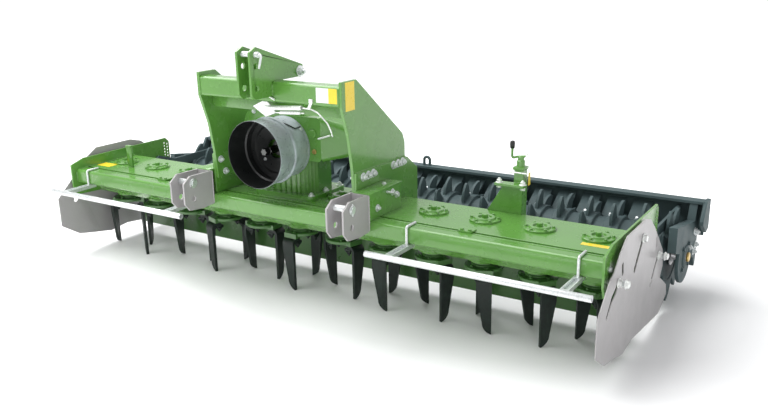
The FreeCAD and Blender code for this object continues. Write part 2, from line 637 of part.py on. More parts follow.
ring = cyl(GUARD_RING_R, (GB_X, GUARD_RING_Y, PTO_Z), (0, 1, 0), GUARD_RING_W)
hollow = Part.makeCone(GUARD_R - GUARD_T, GUARD_REAR_R - GUARD_T, g_len, mouth, V(0, 1, 0))
guard = fuse([guard, ring]).cut(hollow)
add("pto_guard", guard)
ry0 = HEAD_TUBE_FRONT + REST_T
rest_plate = prism_y([(HITCH_X + x, tube_low + z) for x, z in REST_PLATE], ry0, ry0 + REST_T)
rest_x = HITCH_X + REST_PLATE[2][0]
rest_rod = cyl(REST_ROD_R, (rest_x, ry0 + REST_T / 2, tube_low - REST_DOWN), (1, 0, 0), REST_ROD_L)
rest_clip = box(rest_x + REST_ROD_L - REST_CLIP_W, rest_x + REST_ROD_L, ry0 + REST_T / 2 - REST_CLIP_D / 2,
                ry0 + REST_T / 2 + REST_CLIP_D / 2, tube_low - REST_DOWN, tube_low)
add("shaft_rest", fuse([rest_plate, rest_rod, rest_clip]))

# ---------------------------------------------------------------- guard rails


def rail(sign):
    x0, x1 = RAIL_IN, END_OUT - RAIL_SIDE
    t = cyl(RAIL_R, (x0, RAIL_Y, RAIL_Z), (1, 0, 0), x1 - x0)
    bore = cyl(RAIL_R - RAIL_WALL, (x0 - 1, RAIL_Y, RAIL_Z), (1, 0, 0), x1 - x0 + 2)
    hook_y = BEAM_FRONT - HOOK_R
    arms = []
    for x in (x0 + RAIL_ARM_INS[0], x1 - RAIL_ARM_INS[1]):
        half = RAIL_ARM_W / 2
        channel = box(x - half, x + half, RAIL_Y, BEAM_FRONT + RAIL_ARM_LAP, BEAM_LOW - RAIL_ARM_H, BEAM_LOW)
        groove = box(x - half + RAIL_ARM_WALL, x + half - RAIL_ARM_WALL, RAIL_Y + RAIL_R, hook_y - 2 * HOOK_R,
                     BEAM_LOW - RAIL_ARM_H + RAIL_ARM_WALL, BEAM_LOW)
        arms.append(channel.cut(groove))
        arms.append(rod([(x, HOOK_TAIL_Y, BEAM_TOP + HOOK_R), (x, hook_y, BEAM_TOP + HOOK_R),
                         (x, hook_y, BEAM_LOW - RAIL_ARM_H)], HOOK_R, HOOK_R * 1.5))
    s = fuse([t] + arms).cut(bore)
    return s if sign > 0 else mirror_x(s, 0)


add("guard_rail_right", rail(1))
add("guard_rail_left", rail(-1))

# ---------------------------------------------------------------- levelling bar, posts, cranks
pw = POST_W / 2
posts, cranks, stems = [], [], []
for x in POST_XS:
    p = box(x - pw, x + pw, LID_REAR, LID_REAR + POST_W, POST_LOW, POST_TOP)
    p = p.cut(box(x - pw + POST_WALL, x + pw - POST_WALL, LID_REAR + POST_WALL, LID_REAR + POST_W - POST_WALL,
                  POST_LOW, POST_TOP - POST_WALL))
    wing = prism_y([(x - pw - POST_WING, LID_TOP), (x + pw, LID_TOP), (x + pw, POST_WING_Z),
                    (x - pw - POST_WING + POST_WING_SLOPE, POST_WING_Z)], LID_REAR - POST_WING_T, LID_REAR)
    shelf = box(x - pw - POST_WING + SHELF_IN, x + pw + SHELF_OUT, LID_REAR - SHELF_D, LID_REAR, POST_WING_Z,
                POST_WING_Z + SHELF_T)
    posts.append(fuse([p, wing, shelf]))
    yc = LID_REAR + pw
    sp = cyl(SPINDLE_R, (x, yc, POST_TOP), (0, 0, 1), SPINDLE_TOP - POST_TOP)
    c0, c1 = x + CRANK_LEVER[0], x + CRANK_LEVER[1]
    lever_top = SPINDLE_TOP + CRANK_LEVER_H
    lever = prism_y([(c1, SPINDLE_TOP), (c0, SPINDLE_TOP), (c0, CRANK_TOP), (c0 + CRANK_W, CRANK_TOP),
                     (c0 + CRANK_W, lever_top), (c1, lever_top)], yc - CRANK_T / 2, yc + CRANK_T / 2)
    cranks.append(fuse([sp, lever]))
    sw = pw - POST_WALL - STEM_PLAY
    stems.append(box(x - sw, x + sw, yc - sw, yc + sw, LEVEL_LOW + LEVEL_H - STEM_LAP,
                     POST_TOP - POST_WALL - LEVEL_UP - STEM_TOP_PLAY))
add("level_posts", posts)
add("level_cranks", cranks)
LEVEL_HALF = END_IN - LEVEL_SIDE
sheet = box(-LEVEL_HALF, LEVEL_HALF, LEVEL_Y, LEVEL_Y + LEVEL_T, LEVEL_LOW, LEVEL_LOW + LEVEL_H)
lip_low = box(-LEVEL_HALF, LEVEL_HALF, LEVEL_Y, LEVEL_Y + LEVEL_LIP, LEVEL_LOW, LEVEL_LOW + LEVEL_T)
lip_top = box(-LEVEL_HALF, LEVEL_HALF, LEVEL_Y, LEVEL_Y + LEVEL_LIP, LEVEL_LOW + LEVEL_H - LEVEL_T,
              LEVEL_LOW + LEVEL_H)
add("levelling_bar", fuse([sheet, lip_low, lip_top] + stems))

# ---------------------------------------------------------------- rotors
holder_top = TROUGH_BOTTOM - SEAT_H - RUN_GAP


def tine(x, side, hand):
    """Tapered blade with a straight trailing edge and a curved tip; its top turns in under the holder."""
    r_out, r_in = TINE_R + TINE_T / 2, TINE_R - TINE_T / 2
    trail, lead = -TINE_TOP_W / 2, TINE_TOP_W / 2
    flank = [V(0, trail, HOLDER_Z), V(0, trail, TINE_TIP_Z),
             V(0, trail + TINE_LOW_W, TINE_TIP_Z + TINE_CURVE_H),
             V(0, lead, TINE_SHOULDER_Z), V(0, lead, HOLDER_Z)]
    belly = V(0, trail + TINE_LOW_W * 0.7, TINE_TIP_Z + TINE_CURVE_H * 0.36)
    edges = [Part.LineSegment(flank[0], flank[1]).toShape(), Part.Arc(flank[1], belly, flank[2]).toShape()]
    edges += [Part.LineSegment(a, b).toShape() for a, b in zip(flank[2:], flank[3:] + flank[:1])]
    blade = Part.Face(Part.Wire(edges)).extrude(V(r_out, 0, 0))
    bend = TINE_BEND + TINE_T
    k = math.sqrt(0.5)
    z_in = HOLDER_Z - TINE_T
    c_out, c_in = (r_out - bend, HOLDER_Z - bend), (r_in - TINE_BEND, z_in - TINE_BEND)
    elbow = [((r_out, TINE_TIP_Z), (r_out, c_out[1])), ((c_out[0], HOLDER_Z), (TINE_FOOT_R, HOLDER_Z)),
             ((TINE_FOOT_R, HOLDER_Z), (TINE_FOOT_R, z_in)), ((TINE_FOOT_R, z_in), (c_in[0], z_in)),
             ((r_in, c_in[1]), (r_in, TINE_TIP_Z)), ((r_in, TINE_TIP_Z), (r_out, TINE_TIP_Z))]
    lines = [Part.LineSegment(V(p, trail, q), V(m, trail, n)).toShape() for (p, q), (m, n) in elbow]
    outer = Part.Arc(V(r_out, trail, c_out[1]), V(c_out[0] + bend * k, trail, c_out[1] + bend * k),
                     V(c_out[0], trail, HOLDER_Z)).toShape()
    inner = Part.Arc(V(c_in[0], trail, z_in), V(c_in[0] + TINE_BEND * k, trail, c_in[1] + TINE_BEND * k),
                     V(r_in, trail, c_in[1])).toShape()
    ell = Part.Face(Part.Wire([lines[0], outer] + lines[1:4] + [inner] + lines[4:]))
    t = blade.common(ell.extrude(V(0, TINE_TOP_W, 0))).Solids[0]
    if hand < 0:
        t = t.mirror(V(0, 0, 0), V(0, 1, 0))
    if side < 0:
        t.rotate(V(0, 0, 0), V(0, 0, 1), 180)
    t.translate(V(x, 0, 0))
    return t


for k, x in enumerate(rotor_x):
    n = k + 1
    ang = ODD_PHASE + ODD_STEP * n if n % 2 else EVEN_PHASE + EVEN_STEP * n
    hub = cyl(HUB_R, (x, 0, HOLDER_Z), (0, 0, 1), holder_top - HOLDER_Z)
    bar = box(x - HOLDER_REACH, x + HOLDER_REACH, -HOLDER_W / 2, HOLDER_W / 2, HOLDER_Z, HOLDER_Z + HOLDER_T)
    disc = cyl(HOLDER_DISC_R, (x, 0, HOLDER_Z + HOLDER_T / 2), (0, 0, 1), HOLDER_T / 2)
    holder = fuse([hub, bar, disc])
    blades = [tine(x, side, 1 if n % 2 else -1) for side in (1, -1)]
    for piece in [holder] + blades:
        piece.rotate(V(x, 0, 0), V(0, 0, 1), ang)
    add("rotor_%02d_holder" % n, holder)
    add("rotor_%02d_tines" % n, blades)

# ---------------------------------------------------------------- packer roller and frame
cheek_out = END_IN - CHEEK_GAP
cheek_in = cheek_out - CHEEK_T
ring_pairs = int(ROTORS * PITCH / 2 / RING_PITCH + 0.5)
drum_half = (ring_pairs - 0.5) * RING_PITCH + RING_T / 2
tip_turns = [turn + 360.0 * k / TEETH for turn in RING_TURNS for k in range(TEETH)]
rz = TOOTH_R * max(-math.cos(math.radians(t)) for t in tip_turns)


def ring(x, turn):
    """Toothed ring; the teeth lean to the rear at the top."""
    pts = []
    for k in range(TEETH):
        for deg, r in TOOTH:
            a = math.radians(turn + 360.0 * k / TEETH + deg)
            pts.append((ROLL_Y + r * math.sin(a), rz + r * math.cos(a)))
    hole = cyl(DRUM_R - DRUM_WALL / 2, (x - RING_T, ROLL_Y, rz), (1, 0, 0), 2 * RING_T)
    return prism_x(pts, x - RING_T / 2, x + RING_T / 2).cut(hole)


drum = cyl(DRUM_R, (-drum_half, ROLL_Y, rz), (1, 0, 0), 2 * drum_half)
drum = drum.cut(cyl(DRUM_R - DRUM_WALL, (-drum_half + DRUM_WALL, ROLL_Y, rz), (1, 0, 0),
                    2 * (drum_half - DRUM_WALL)))
ring_x = [(k + 0.5) * RING_PITCH for k in range(-ring_pairs, ring_pairs)]
add("packer_roller", fuse([drum] + [ring(x, RING_TURNS[k % 2]) for k, x in enumerate(ring_x)]))
arm_in = sh_out + ARM_GAP
arm_out = arm_in + ARM_W
shaft = cyl(JOURNAL_R, (drum_half, ROLL_Y, rz), (1, 0, 0), arm_out + JOURNAL_PAST - drum_half)
flange = cyl(FLANGE_R, (drum_half, ROLL_Y, rz), (1, 0, 0), FLANGE_T)
journal = fuse([shaft, flange])
add("roller_shafts", [journal, mirror_x(journal, 0)])
back_web = BACK_WEB_REAR - BACK_T


def arm():
    """Box outside the side shield, with the round bearing plate and the rear lug below it."""
    side = list(ARM_SIDE) + [(back_web, BACK_TOP - BACK_T)] + list(ARM_LUG)
    outer = prism_x(side, arm_in, arm_out)
    notch = cyl(JOURNAL_R + JOURNAL_CLEAR, (arm_in - 1, ROLL_Y, rz), (1, 0, 0), ARM_W - SKIRT_T + 1)
    skirt = cyl(SKIRT_R, (arm_out - SKIRT_T, ROLL_Y, rz), (1, 0, 0), SKIRT_T)
    bore = cyl(JOURNAL_R + JOURNAL_PLAY, (arm_out - SKIRT_T - 1, ROLL_Y, rz), (1, 0, 0), SKIRT_T + 2)
    return fuse([outer, skirt]).cut(notch).cut(bore)


def cheek():
    """Inner plate from the pivot to the rear beam, above the drum."""
    nose = PIVOT_NOSE
    plate = prism_x([(PIVOT_Y - nose, PIVOT_Z - nose / 2), (PIVOT_Y - nose, PIVOT_Z + nose / 2),
                     (PIVOT_Y, PIVOT_Z + nose), (PIVOT_Y + CHEEK_NECK, CHEEK_TOP),
                     (back_web, CHEEK_TOP), (back_web, CHEEK_LOW), (PIVOT_Y, PIVOT_Z - nose)],
                    cheek_in, cheek_out)
    return plate.cut(cyl(PIVOT_R + PIVOT_PLAY, (cheek_in - 1, PIVOT_Y, PIVOT_Z), (1, 0, 0), CHEEK_T + 2))


roller_arm = [arm(), cheek()]
add("roller_arm_right", roller_arm)
add("roller_arm_left", [mirror_x(piece, 0) for piece in roller_arm])
pivot = fuse([cyl(PIVOT_R, (cheek_in - PIVOT_PAST, PIVOT_Y, PIVOT_Z), (1, 0, 0),
                  END_OUT - cheek_in + 2 * PIVOT_PAST),
              cyl(PIVOT_R * 1.6, (END_OUT, PIVOT_Y, PIVOT_Z), (1, 0, 0), PIVOT_PAST)])
add("roller_pivots", [pivot, mirror_x(pivot, 0)])
cap_in = BACK_HALF - CAP_SIDE_T
lip = box(-cap_in, cap_in, BACK_FRONT, BACK_FRONT + BACK_T, BACK_TOP - BACK_LIP, BACK_TOP)
top_flange = box(-cap_in, cap_in, BACK_FRONT, BACK_WEB_REAR, BACK_TOP - BACK_T, BACK_TOP)
web = box(-cap_in, cap_in, back_web, BACK_WEB_REAR, BACK_LOW, BACK_TOP)
end_cap = prism_x(list(CAP_SIDE), cap_in, BACK_HALF)
eye_y = (BACK_FRONT + BACK_WEB_REAR) / 2
eye_foot = BACK_TOP - BACK_T / 2
eye_top = BACK_TOP + EYE_H - EYE_R
eye = rod([(EYE_X - EYE_HALF, eye_y, eye_foot), (EYE_X - EYE_HALF, eye_y, eye_top),
           (EYE_X + EYE_HALF, eye_y, eye_top), (EYE_X + EYE_HALF, eye_y, eye_foot)], EYE_R, EYE_HALF - 1)
add("roller_beam", fuse([lip, top_flange, web, end_cap, mirror_x(end_cap, 0), eye]))
sa = math.radians(SCRAPER_ANGLE)
sr = DRUM_R + SCRAPER_GAP
tip_y, tip_z = ROLL_Y + sr * math.sin(sa), rz + sr * math.cos(sa)
blade = [(tip_y, tip_z), (back_web, SCRAPER_TOP), (back_web, SCRAPER_TOP - SCRAPER_T),
         (tip_y + SCRAPER_T, tip_z)]
side_gap = RING_T / 2 + SCRAPER_SIDE
inner_rings = ring_x[1:-1]
add("scrapers", [prism_x(blade, a + side_gap, b - side_gap) for a, b in zip(inner_rings, inner_rings[1:])])

# ---------------------------------------------------------------- write out
for name, shape in NODES.items():
    s = Part.makeCompound(shape) if isinstance(shape, list) else shape.copy()
    s.translate(MOVE)
    bad = not s.isValid()
    print(name, "solids", len(s.Solids), "volume %.0f" % s.Volume, "INVALID" if bad else "")
    s.exportStep("parts/%s.step" % name)
print("nodes", len(NODES))
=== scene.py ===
"""Power harrow: dresses the pieces of the CAD frame and adds the details of the photograph."""
import json
import math

import bmesh
import bpy
from mathutils import Matrix, Vector, noise


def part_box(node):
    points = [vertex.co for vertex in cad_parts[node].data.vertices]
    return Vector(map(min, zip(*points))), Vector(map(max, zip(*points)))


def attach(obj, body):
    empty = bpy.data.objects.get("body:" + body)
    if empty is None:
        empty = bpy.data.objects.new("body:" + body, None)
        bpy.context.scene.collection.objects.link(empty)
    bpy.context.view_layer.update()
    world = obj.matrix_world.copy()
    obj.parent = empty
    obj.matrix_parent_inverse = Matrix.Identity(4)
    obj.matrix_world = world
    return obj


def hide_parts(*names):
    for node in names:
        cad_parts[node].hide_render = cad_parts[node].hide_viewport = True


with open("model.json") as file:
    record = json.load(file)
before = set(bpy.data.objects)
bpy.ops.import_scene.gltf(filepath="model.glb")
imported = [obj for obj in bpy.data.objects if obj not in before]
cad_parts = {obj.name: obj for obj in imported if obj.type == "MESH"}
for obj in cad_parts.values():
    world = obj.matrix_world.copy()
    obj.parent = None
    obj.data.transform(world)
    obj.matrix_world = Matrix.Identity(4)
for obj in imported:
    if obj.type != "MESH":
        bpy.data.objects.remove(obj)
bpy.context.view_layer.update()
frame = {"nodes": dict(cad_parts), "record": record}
scene = bpy.context.scene

X, Y, Z = Vector((1, 0, 0)), Vector((0, 1, 0)), Vector((0, 0, 1))


def span(node):
    """Lowest and highest corner of a node."""
    return tuple(Vector(c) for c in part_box(node))


def low(node):
    return span(node)[0]


def high(node):
    return span(node)[1]


def middle(node):
    return (low(node) + high(node)) / 2


# -------------------------------- places taken from the frame
ROTORS = 12
ROTOR_X = [middle("rotor_%02d_holder" % (k + 1)).x for k in range(ROTORS)]
Y0 = middle("rotor_06_holder").y                # the rotor line
LID_TOP = low("rotor_caps").z
LID_REAR = high("trough_lid").y
BEAM_LO, BEAM_HI = span("front_beam")
HITCH_X = middle("headstock_tube").x
INPUT = middle("pto_guard")
PLATE_OUT = high("end_plate_right").x           # outer face of the end plates
SHIELD_IN, SHIELD_OUT = (c.x for c in span("side_shield_right"))
ROLLER = middle("roller_shafts")
ROLLER_HALF = high("packer_roller").x


# -------------------------------- camera, light and floor
SENSOR, LENS = 36.0, 38.88                      # millimetres
AZIMUTH, ELEVATION, ROLL = 32.7362, 16.7512, -1.0856      # degrees
FLOOR_SIZE = 600.0
CAM_AT = (2.3472, -3.0896 + Y0, 1.5624)


def make_camera():
    cam = bpy.data.objects.new("camera", bpy.data.cameras.new("camera"))
    scene.collection.objects.link(cam)
    cam.data.sensor_width = SENSOR
    cam.data.lens = LENS
    a, e, r = (math.radians(v) for v in (AZIMUTH, ELEVATION, ROLL))
    back = Vector((math.sin(a) * math.cos(e), -math.cos(a) * math.cos(e), math.sin(e)))
    right = Vector((math.cos(a), math.sin(a), 0.0))
    up = back.cross(right)
    right, up = right * math.cos(r) + up * math.sin(r), up * math.cos(r) - right * math.sin(r)
    m = Matrix((right, up, back)).transposed().to_4x4()
    m.translation = Vector(CAM_AT)
    cam.matrix_world = m
    cam.data.clip_start, cam.data.clip_end = 0.1, 100.0
    scene.camera = cam


def area_light(name, at, aim, size, watts):
    data = bpy.data.lights.new(name, "AREA")
    data.shape = "RECTANGLE"
    data.size, data.size_y = size
    data.energy = watts
    lamp = bpy.data.objects.new(name, data)
    scene.collection.objects.link(lamp)
    lamp.location = at
    lamp.rotation_euler = (Vector(aim) - Vector(at)).to_track_quat("-Z", "Y").to_euler()


def make_studio():
    scene.view_settings.view_transform = "Standard"
    area_light("top_light", (-1.8, -0.2, 4.6), (0.2, 0, 0.3), (6.0, 4.4), 350)
    area_light("key_light", (-3.2, -4.6, 3.2), (0, 0, 0.4), (2.8, 2.4), 34)
    area_light("side_light", (5.4, -2.8, 2.4), (1.0, 0, 0.3), (2.8, 2.2), 12)
    world = bpy.data.worlds.new("studio")
    scene.world = world
    world.use_nodes = True
    nodes, links = world.node_tree.nodes, world.node_tree.links
    back = nodes["Background"]
    # a white horizon under a greyer sky gives the paint something to mirror
    coord = nodes.new("ShaderNodeTexCoord")
    split = nodes.new("ShaderNodeSeparateXYZ")
    ramp = nodes.new("ShaderNodeValToRGB")
    links.new(coord.outputs["Generated"], split.inputs[0])
    links.new(split.outputs["Z"], ramp.inputs[0])
    links.new(ramp.outputs[0], back.inputs[0])
    horizon, sky = ramp.color_ramp.elements
    horizon.position, horizon.color = 0.10, (1, 1, 1, 1)
    sky.position, sky.color = 0.28, (0.66, 0.665, 0.67, 1)
    back.inputs[1].default_value = 1.0
    bm = bmesh.new()
    bmesh.ops.create_grid(bm, x_segments=1, y_segments=1, size=FLOOR_SIZE / 2)
    floor = link_mesh("floor", bm)
    floor.data.materials.append(MATS["floor"])


# -------------------------------- materials
class Tree:
    """Short way to build a material's nodes."""

    def __init__(self, name):
        self.material = bpy.data.materials.new(name)
        self.material.use_nodes = True
        self.nodes = self.material.node_tree.nodes
        self.links = self.material.node_tree.links
        self.shader = self.nodes["Principled BSDF"]
        self.place = self.nodes.new("ShaderNodeTexCoord").outputs["Object"]

    def set(self, **sockets):
        for name, value in sockets.items():
            self.shader.inputs[name.replace("_", " ")].default_value = value

    def noise(self, scale, detail=4.0, stretch=None, rough=0.55):
        tex = self.nodes.new("ShaderNodeTexNoise")
        tex.inputs["Scale"].default_value = scale
        tex.inputs["Detail"].default_value = detail
        tex.inputs["Roughness"].default_value = rough
        source = self.place
        if stretch:
            move = self.nodes.new("ShaderNodeMapping")
            move.inputs["Scale"].default_value = stretch
            self.links.new(source, move.inputs["Vector"])
            source = move.outputs[0]
        self.links.new(source, tex.inputs["Vector"])
        return tex.outputs[0]

    def voronoi(self, scale):
        tex = self.nodes.new("ShaderNodeTexVoronoi")
        tex.inputs["Scale"].default_value = scale
        self.links.new(self.place, tex.inputs["Vector"])
        return tex.outputs["Distance"]

    def spread(self, value, low, high, start=0.3, end=0.7):
        tex = self.nodes.new("ShaderNodeMapRange")
        tex.inputs["From Min"].default_value, tex.inputs["From Max"].default_value = start, end
        tex.inputs["To Min"].default_value, tex.inputs["To Max"].default_value = low, high
        self.links.new(value, tex.inputs["Value"])
        return tex.outputs[0]

    def ramp(self, value, stops):
        tex = self.nodes.new("ShaderNodeValToRGB")
        marks = tex.color_ramp.elements
        while len(marks) < len(stops):
            marks.new(0.5)
        for mark, (at, colour) in zip(marks, stops):
            mark.position, mark.color = at, (*colour, 1)
        self.links.new(value, tex.inputs[0])
        return tex.outputs[0]

    def mix(self, factor, a, b):
        tex = self.nodes.new("ShaderNodeMix")
        tex.data_type = "RGBA"
        for value, socket in ((factor, 0), (a, 6), (b, 7)):
            if hasattr(value, "is_output"):
                self.links.new(value, tex.inputs[socket])
            else:
                tex.inputs[socket].default_value = value if socket == 0 else (*value, 1)
        return tex.outputs[2]

    def colour(self, output):
        self.links.new(output, self.shader.inputs["Base Color"])

    def rough(self, output):
        self.links.new(output, self.shader.inputs["Roughness"])

    def bump(self, *layers):
        """Each layer is (height, strength, distance)."""
        before = None
        for height, strength, distance in layers:
            tex = self.nodes.new("ShaderNodeBump")
            tex.inputs["Strength"].default_value = strength
            tex.inputs["Distance"].default_value = distance
            self.links.new(height, tex.inputs["Height"])
            if before:
                self.links.new(before, tex.inputs["Normal"])
            before = tex.outputs[0]
        self.links.new(before, self.shader.inputs["Normal"])


def shade(rgb, k):
    return tuple(min(1.0, c * k) for c in rgb)


def paint(name, rgb, rough, coat, spec=0.5):
    """Sprayed paint: cloudy tone, orange peel, a little settled dust, clear gloss."""
    t = Tree(name)
    cloud = t.noise(3.1, 5.0)
    speck = t.noise(95.0, 3.0)
    tone = t.ramp(cloud, [(0.25, shade(rgb, 0.90)), (0.55, rgb), (0.8, shade(rgb, 1.09))])
    dust = t.spread(speck, 0.0, 0.12, 0.52, 0.72)
    t.colour(t.mix(dust, tone, shade(rgb, 1.35)))
    t.rough(t.spread(t.noise(11.0, 4.0), rough - 0.05, rough + 0.09))
    t.bump((t.noise(420.0, 2.0), 0.25, 0.0004), (t.noise(26.0, 2.0), 0.12, 0.0012))
    t.set(Coat_Weight=coat, Coat_Roughness=0.07, Specular_IOR_Level=spec)
    return t.material


def zinc(name, rgb, rough):
    """Galvanised or zinc plated steel: pale crystals and a soft metallic sheen."""
    t = Tree(name)
    crystal = t.voronoi(140.0)
    t.colour(t.ramp(crystal, [(0.1, shade(rgb, 1.08)), (0.5, rgb), (0.9, shade(rgb, 0.84))]))
    t.rough(t.spread(t.noise(60.0, 3.0), rough - 0.06, rough + 0.12))
    t.bump((t.noise(260.0, 3.0), 0.18, 0.0005))
    t.set(Metallic=0.72)
    return t.material


def forged(name, rgb):
    """Dark forged steel with scale, pits and scratches along the blade."""
    t = Tree(name)
    scale = t.noise(38.0, 6.0, rough=0.65)
    streak = t.noise(90.0, 3.0, stretch=(1.0, 1.0, 0.12))
    tone = t.ramp(scale, [(0.3, shade(rgb, 0.6)), (0.55, rgb), (0.75, shade(rgb, 1.7))])
    t.colour(t.mix(t.spread(streak, 0.0, 0.35, 0.55, 0.75), tone, shade(rgb, 2.6)))
    t.rough(t.spread(scale, 0.34, 0.62))
    t.bump((t.noise(170.0, 5.0), 0.45, 0.0008), (t.noise(30.0, 3.0), 0.3, 0.002))
    t.set(Metallic=0.15, Coat_Weight=0.10, Coat_Roughness=0.25, Specular_IOR_Level=0.35)
    return t.material


def machined(name, rgb):
    """Turned bare steel with fine rings of tool marks."""
    t = Tree(name)
    t.colour(t.ramp(t.noise(20.0, 5.0), [(0.3, shade(rgb, 0.82)), (0.7, shade(rgb, 1.12))]))
    t.rough(t.spread(t.noise(150.0, 2.0, stretch=(0.05, 1.0, 0.05)), 0.22, 0.4))
    t.bump((t.noise(700.0, 2.0, stretch=(0.05, 1.0, 0.05)), 0.25, 0.0003))
    t.set(Metallic=1.0)
    return t.material


def plastic(name, rgb, rough):
    """Moulded plastic: fine spark grain and a faint bloom."""
    t = Tree(name)
    t.colour(t.ramp(t.noise(9.0, 4.0), [(0.3, shade(rgb, 0.8)), (0.7, shade(rgb, 1.35))]))
    t.rough(t.spread(t.noise(45.0, 3.0), rough - 0.07, rough + 0.1))
    t.bump((t.noise(900.0, 2.0), 0.22, 0.0003))
    t.set(Specular_IOR_Level=0.55)
    return t.material


def foil(name, rgb):
    """Printed foil plate, left blank: smooth, slightly wavy."""
    t = Tree(name)
    t.colour(t.ramp(t.noise(30.0, 3.0), [(0.3, shade(rgb, 0.93)), (0.7, rgb)]))
    t.rough(t.spread(t.noise(80.0, 2.0), 0.25, 0.4))
    t.bump((t.noise(60.0, 2.0), 0.1, 0.0005))
    t.set(Coat_Weight=0.4, Coat_Roughness=0.1)
    return t.material


def studio_floor():
    t = Tree("floor")
    t.colour(t.ramp(t.noise(0.6, 3.0), [(0.3, (0.86, 0.865, 0.87)), (0.7, (0.9, 0.9, 0.905))]))
    t.rough(t.spread(t.noise(4.0, 3.0), 0.75, 0.9))
    # outside an ellipse round the machine the floor glows a little and runs into a white wall
    move = t.nodes.new("ShaderNodeMapping")
    move.inputs["Scale"].default_value = (0.55, 1.0, 0.0)
    move.inputs["Location"].default_value = (-0.14, -0.25, 0.0)
    away = t.nodes.new("ShaderNodeVectorMath")
    away.operation = "LENGTH"
    t.links.new(t.place, move.inputs["Vector"])
    t.links.new(move.outputs[0], away.inputs[0])
    glow = t.spread(away.outputs["Value"], 0.0, 0.5, 0.9, 1.6)
    t.links.new(glow, t.shader.inputs["Emission Strength"])
    t.set(Emission_Color=(1, 1, 1, 1))
    return t.material


MATS = {
    "green_paint": paint("green_paint", (0.105, 0.285, 0.046), 0.24, 0.55),
    # painted shade: a darker copy of green_paint for the parts that sit in shadow under the trough
    "painted_shade_green": paint("painted_shade_green", (0.055, 0.155, 0.035), 0.3, 0.4),
    "grey_paint": paint("grey_paint", (0.375, 0.362, 0.365), 0.36, 0.3),
    "zinc": zinc("zinc", (0.77, 0.80, 0.80), 0.38),
    "tine_steel": forged("tine_steel", (0.010, 0.018, 0.014)),
    "frame_paint": paint("frame_paint", (0.066, 0.098, 0.102), 0.56, 0.03, spec=0.2),
    "black_plastic": plastic("black_plastic", (0.007, 0.0085, 0.008), 0.34),
    # painted reflection: black guard plastic coloured pale blue-grey for the lights it mirrors at a
    # grazing angle
    "painted_sheen_plastic": plastic("painted_sheen_plastic", (0.34, 0.385, 0.41), 0.30),
    "bare_steel": machined("bare_steel", (0.55, 0.55, 0.56)),
    "white_zinc": zinc("white_zinc", (0.86, 0.88, 0.86), 0.46),
    "yellow_foil": foil("yellow_foil", (0.90, 0.66, 0.03)),
    "white_foil": foil("white_foil", (0.85, 0.86, 0.84)),
    "brass": machined("brass", (0.62, 0.44, 0.16)),
    "oiled_steel": machined("oiled_steel", (0.13, 0.135, 0.13)),
    "floor": studio_floor(),
}


# -------------------------------- mesh tools
SAME = 0.00002                  # vertices closer than this are one
RIPPLE = 0.22                   # of the beads of a weld


def link_mesh(name, bm):
    bmesh.ops.recalc_face_normals(bm, faces=bm.faces[:])
    mesh = bpy.data.meshes.new(name)
    bm.to_mesh(mesh)
    bm.free()
    obj = bpy.data.objects.new(name, mesh)
    scene.collection.objects.link(obj)
    return obj


def smooth(obj, degrees):
    for face in obj.data.polygons:
        face.use_smooth = True
    obj.data.set_sharp_from_angle(angle=math.radians(degrees))


def round_edges(obj, width, weld=False):
    if weld:
        join = obj.modifiers.new("weld", "WELD")
        join.merge_threshold = SAME
    bevel = obj.modifiers.new("bevel", "BEVEL")
    bevel.width = width
    bevel.segments = 2
    bevel.limit_method = "ANGLE"
    bevel.angle_limit = math.radians(30.0)
    bevel.harden_normals = True


def piece(name, bm, material, bevel=0.0, replaces=(), degrees=32.0, body="main_frame"):
    """One finished piece of the scene, on its body, with its material and slot."""
    obj = link_mesh(name, bm)
    smooth(obj, degrees)
    obj.data.materials.append(MATS[material])
    if bevel:
        round_edges(obj, bevel)
    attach(obj, body)
    if replaces:
        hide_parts(*replaces)
    return obj


def basis(axis):
    """Two directions square to axis."""
    axis = Vector(axis).normalized()
    side = Z if abs(axis.z) < 0.9 else X
    u = axis.cross(side).normalized()
    return axis, u, axis.cross(u)


def lathe(bm, at, axis, profile, segs=32, turn=0.0, close=True):
    """Turn (radius, height) points round an axis through at."""
    axis, u, v = basis(axis)
    rings = []
    for r, h in profile:
        centre = Vector(at) + axis * h
        if r < 1e-6:
            rings.append([bm.verts.new(centre)])
            continue
        angles = [turn + 2 * math.pi * k / segs for k in range(segs)]
        rings.append([bm.verts.new(centre + u * (r * math.cos(a)) + v * (r * math.sin(a)))
                      for a in angles])
    pairs = list(zip(rings, rings[1:]))
    if close and len(rings[0]) > 1 and len(rings[-1]) > 1:
        pairs.append((rings[-1], rings[0]))
    for a, b in pairs:
        for k in range(segs):
            n = (k + 1) % segs
            quad = [a[k % len(a)], a[n % len(a)], b[n % len(b)], b[k % len(b)]]
            corners = list(dict.fromkeys(quad))
            if len(corners) > 2:
                bm.faces.new(corners)


def stitch(bm, a, b):
    """Faces between two rings with the same number of corners."""
    for k in range(len(a)):
        n = (k + 1) % len(a)
        bm.faces.new((a[k], a[n], b[n], b[k]))


def hexbolt(bm, at, axis, r, h, washer=1.45, tail=0.0, turn=0.0):
    """Washer, hexagonal head with a turned chamfer, and perhaps a thread end past it."""
    t = r * 0.22                # thickness of the washer
    at = Vector(at)
    axis = Vector(axis).normalized()
    if washer:
        w = r * washer
        lathe(bm, at, axis, [(0, 0), (w, 0), (w, t * 0.8), (w * 0.96, t), (0, t)], 20)
    else:
        t = 0.0
    lathe(bm, at + axis * t, axis, [(0, 0), (r, 0), (r, h * 0.86), (r * 0.88, h), (0, h)], 6, turn)
    if tail:
        lathe(bm, at + axis * (t + h), axis, [(0, 0), (r * 0.52, 0), (r * 0.52, tail * 0.85),
                                              (r * 0.42, tail), (0, tail)], 12)


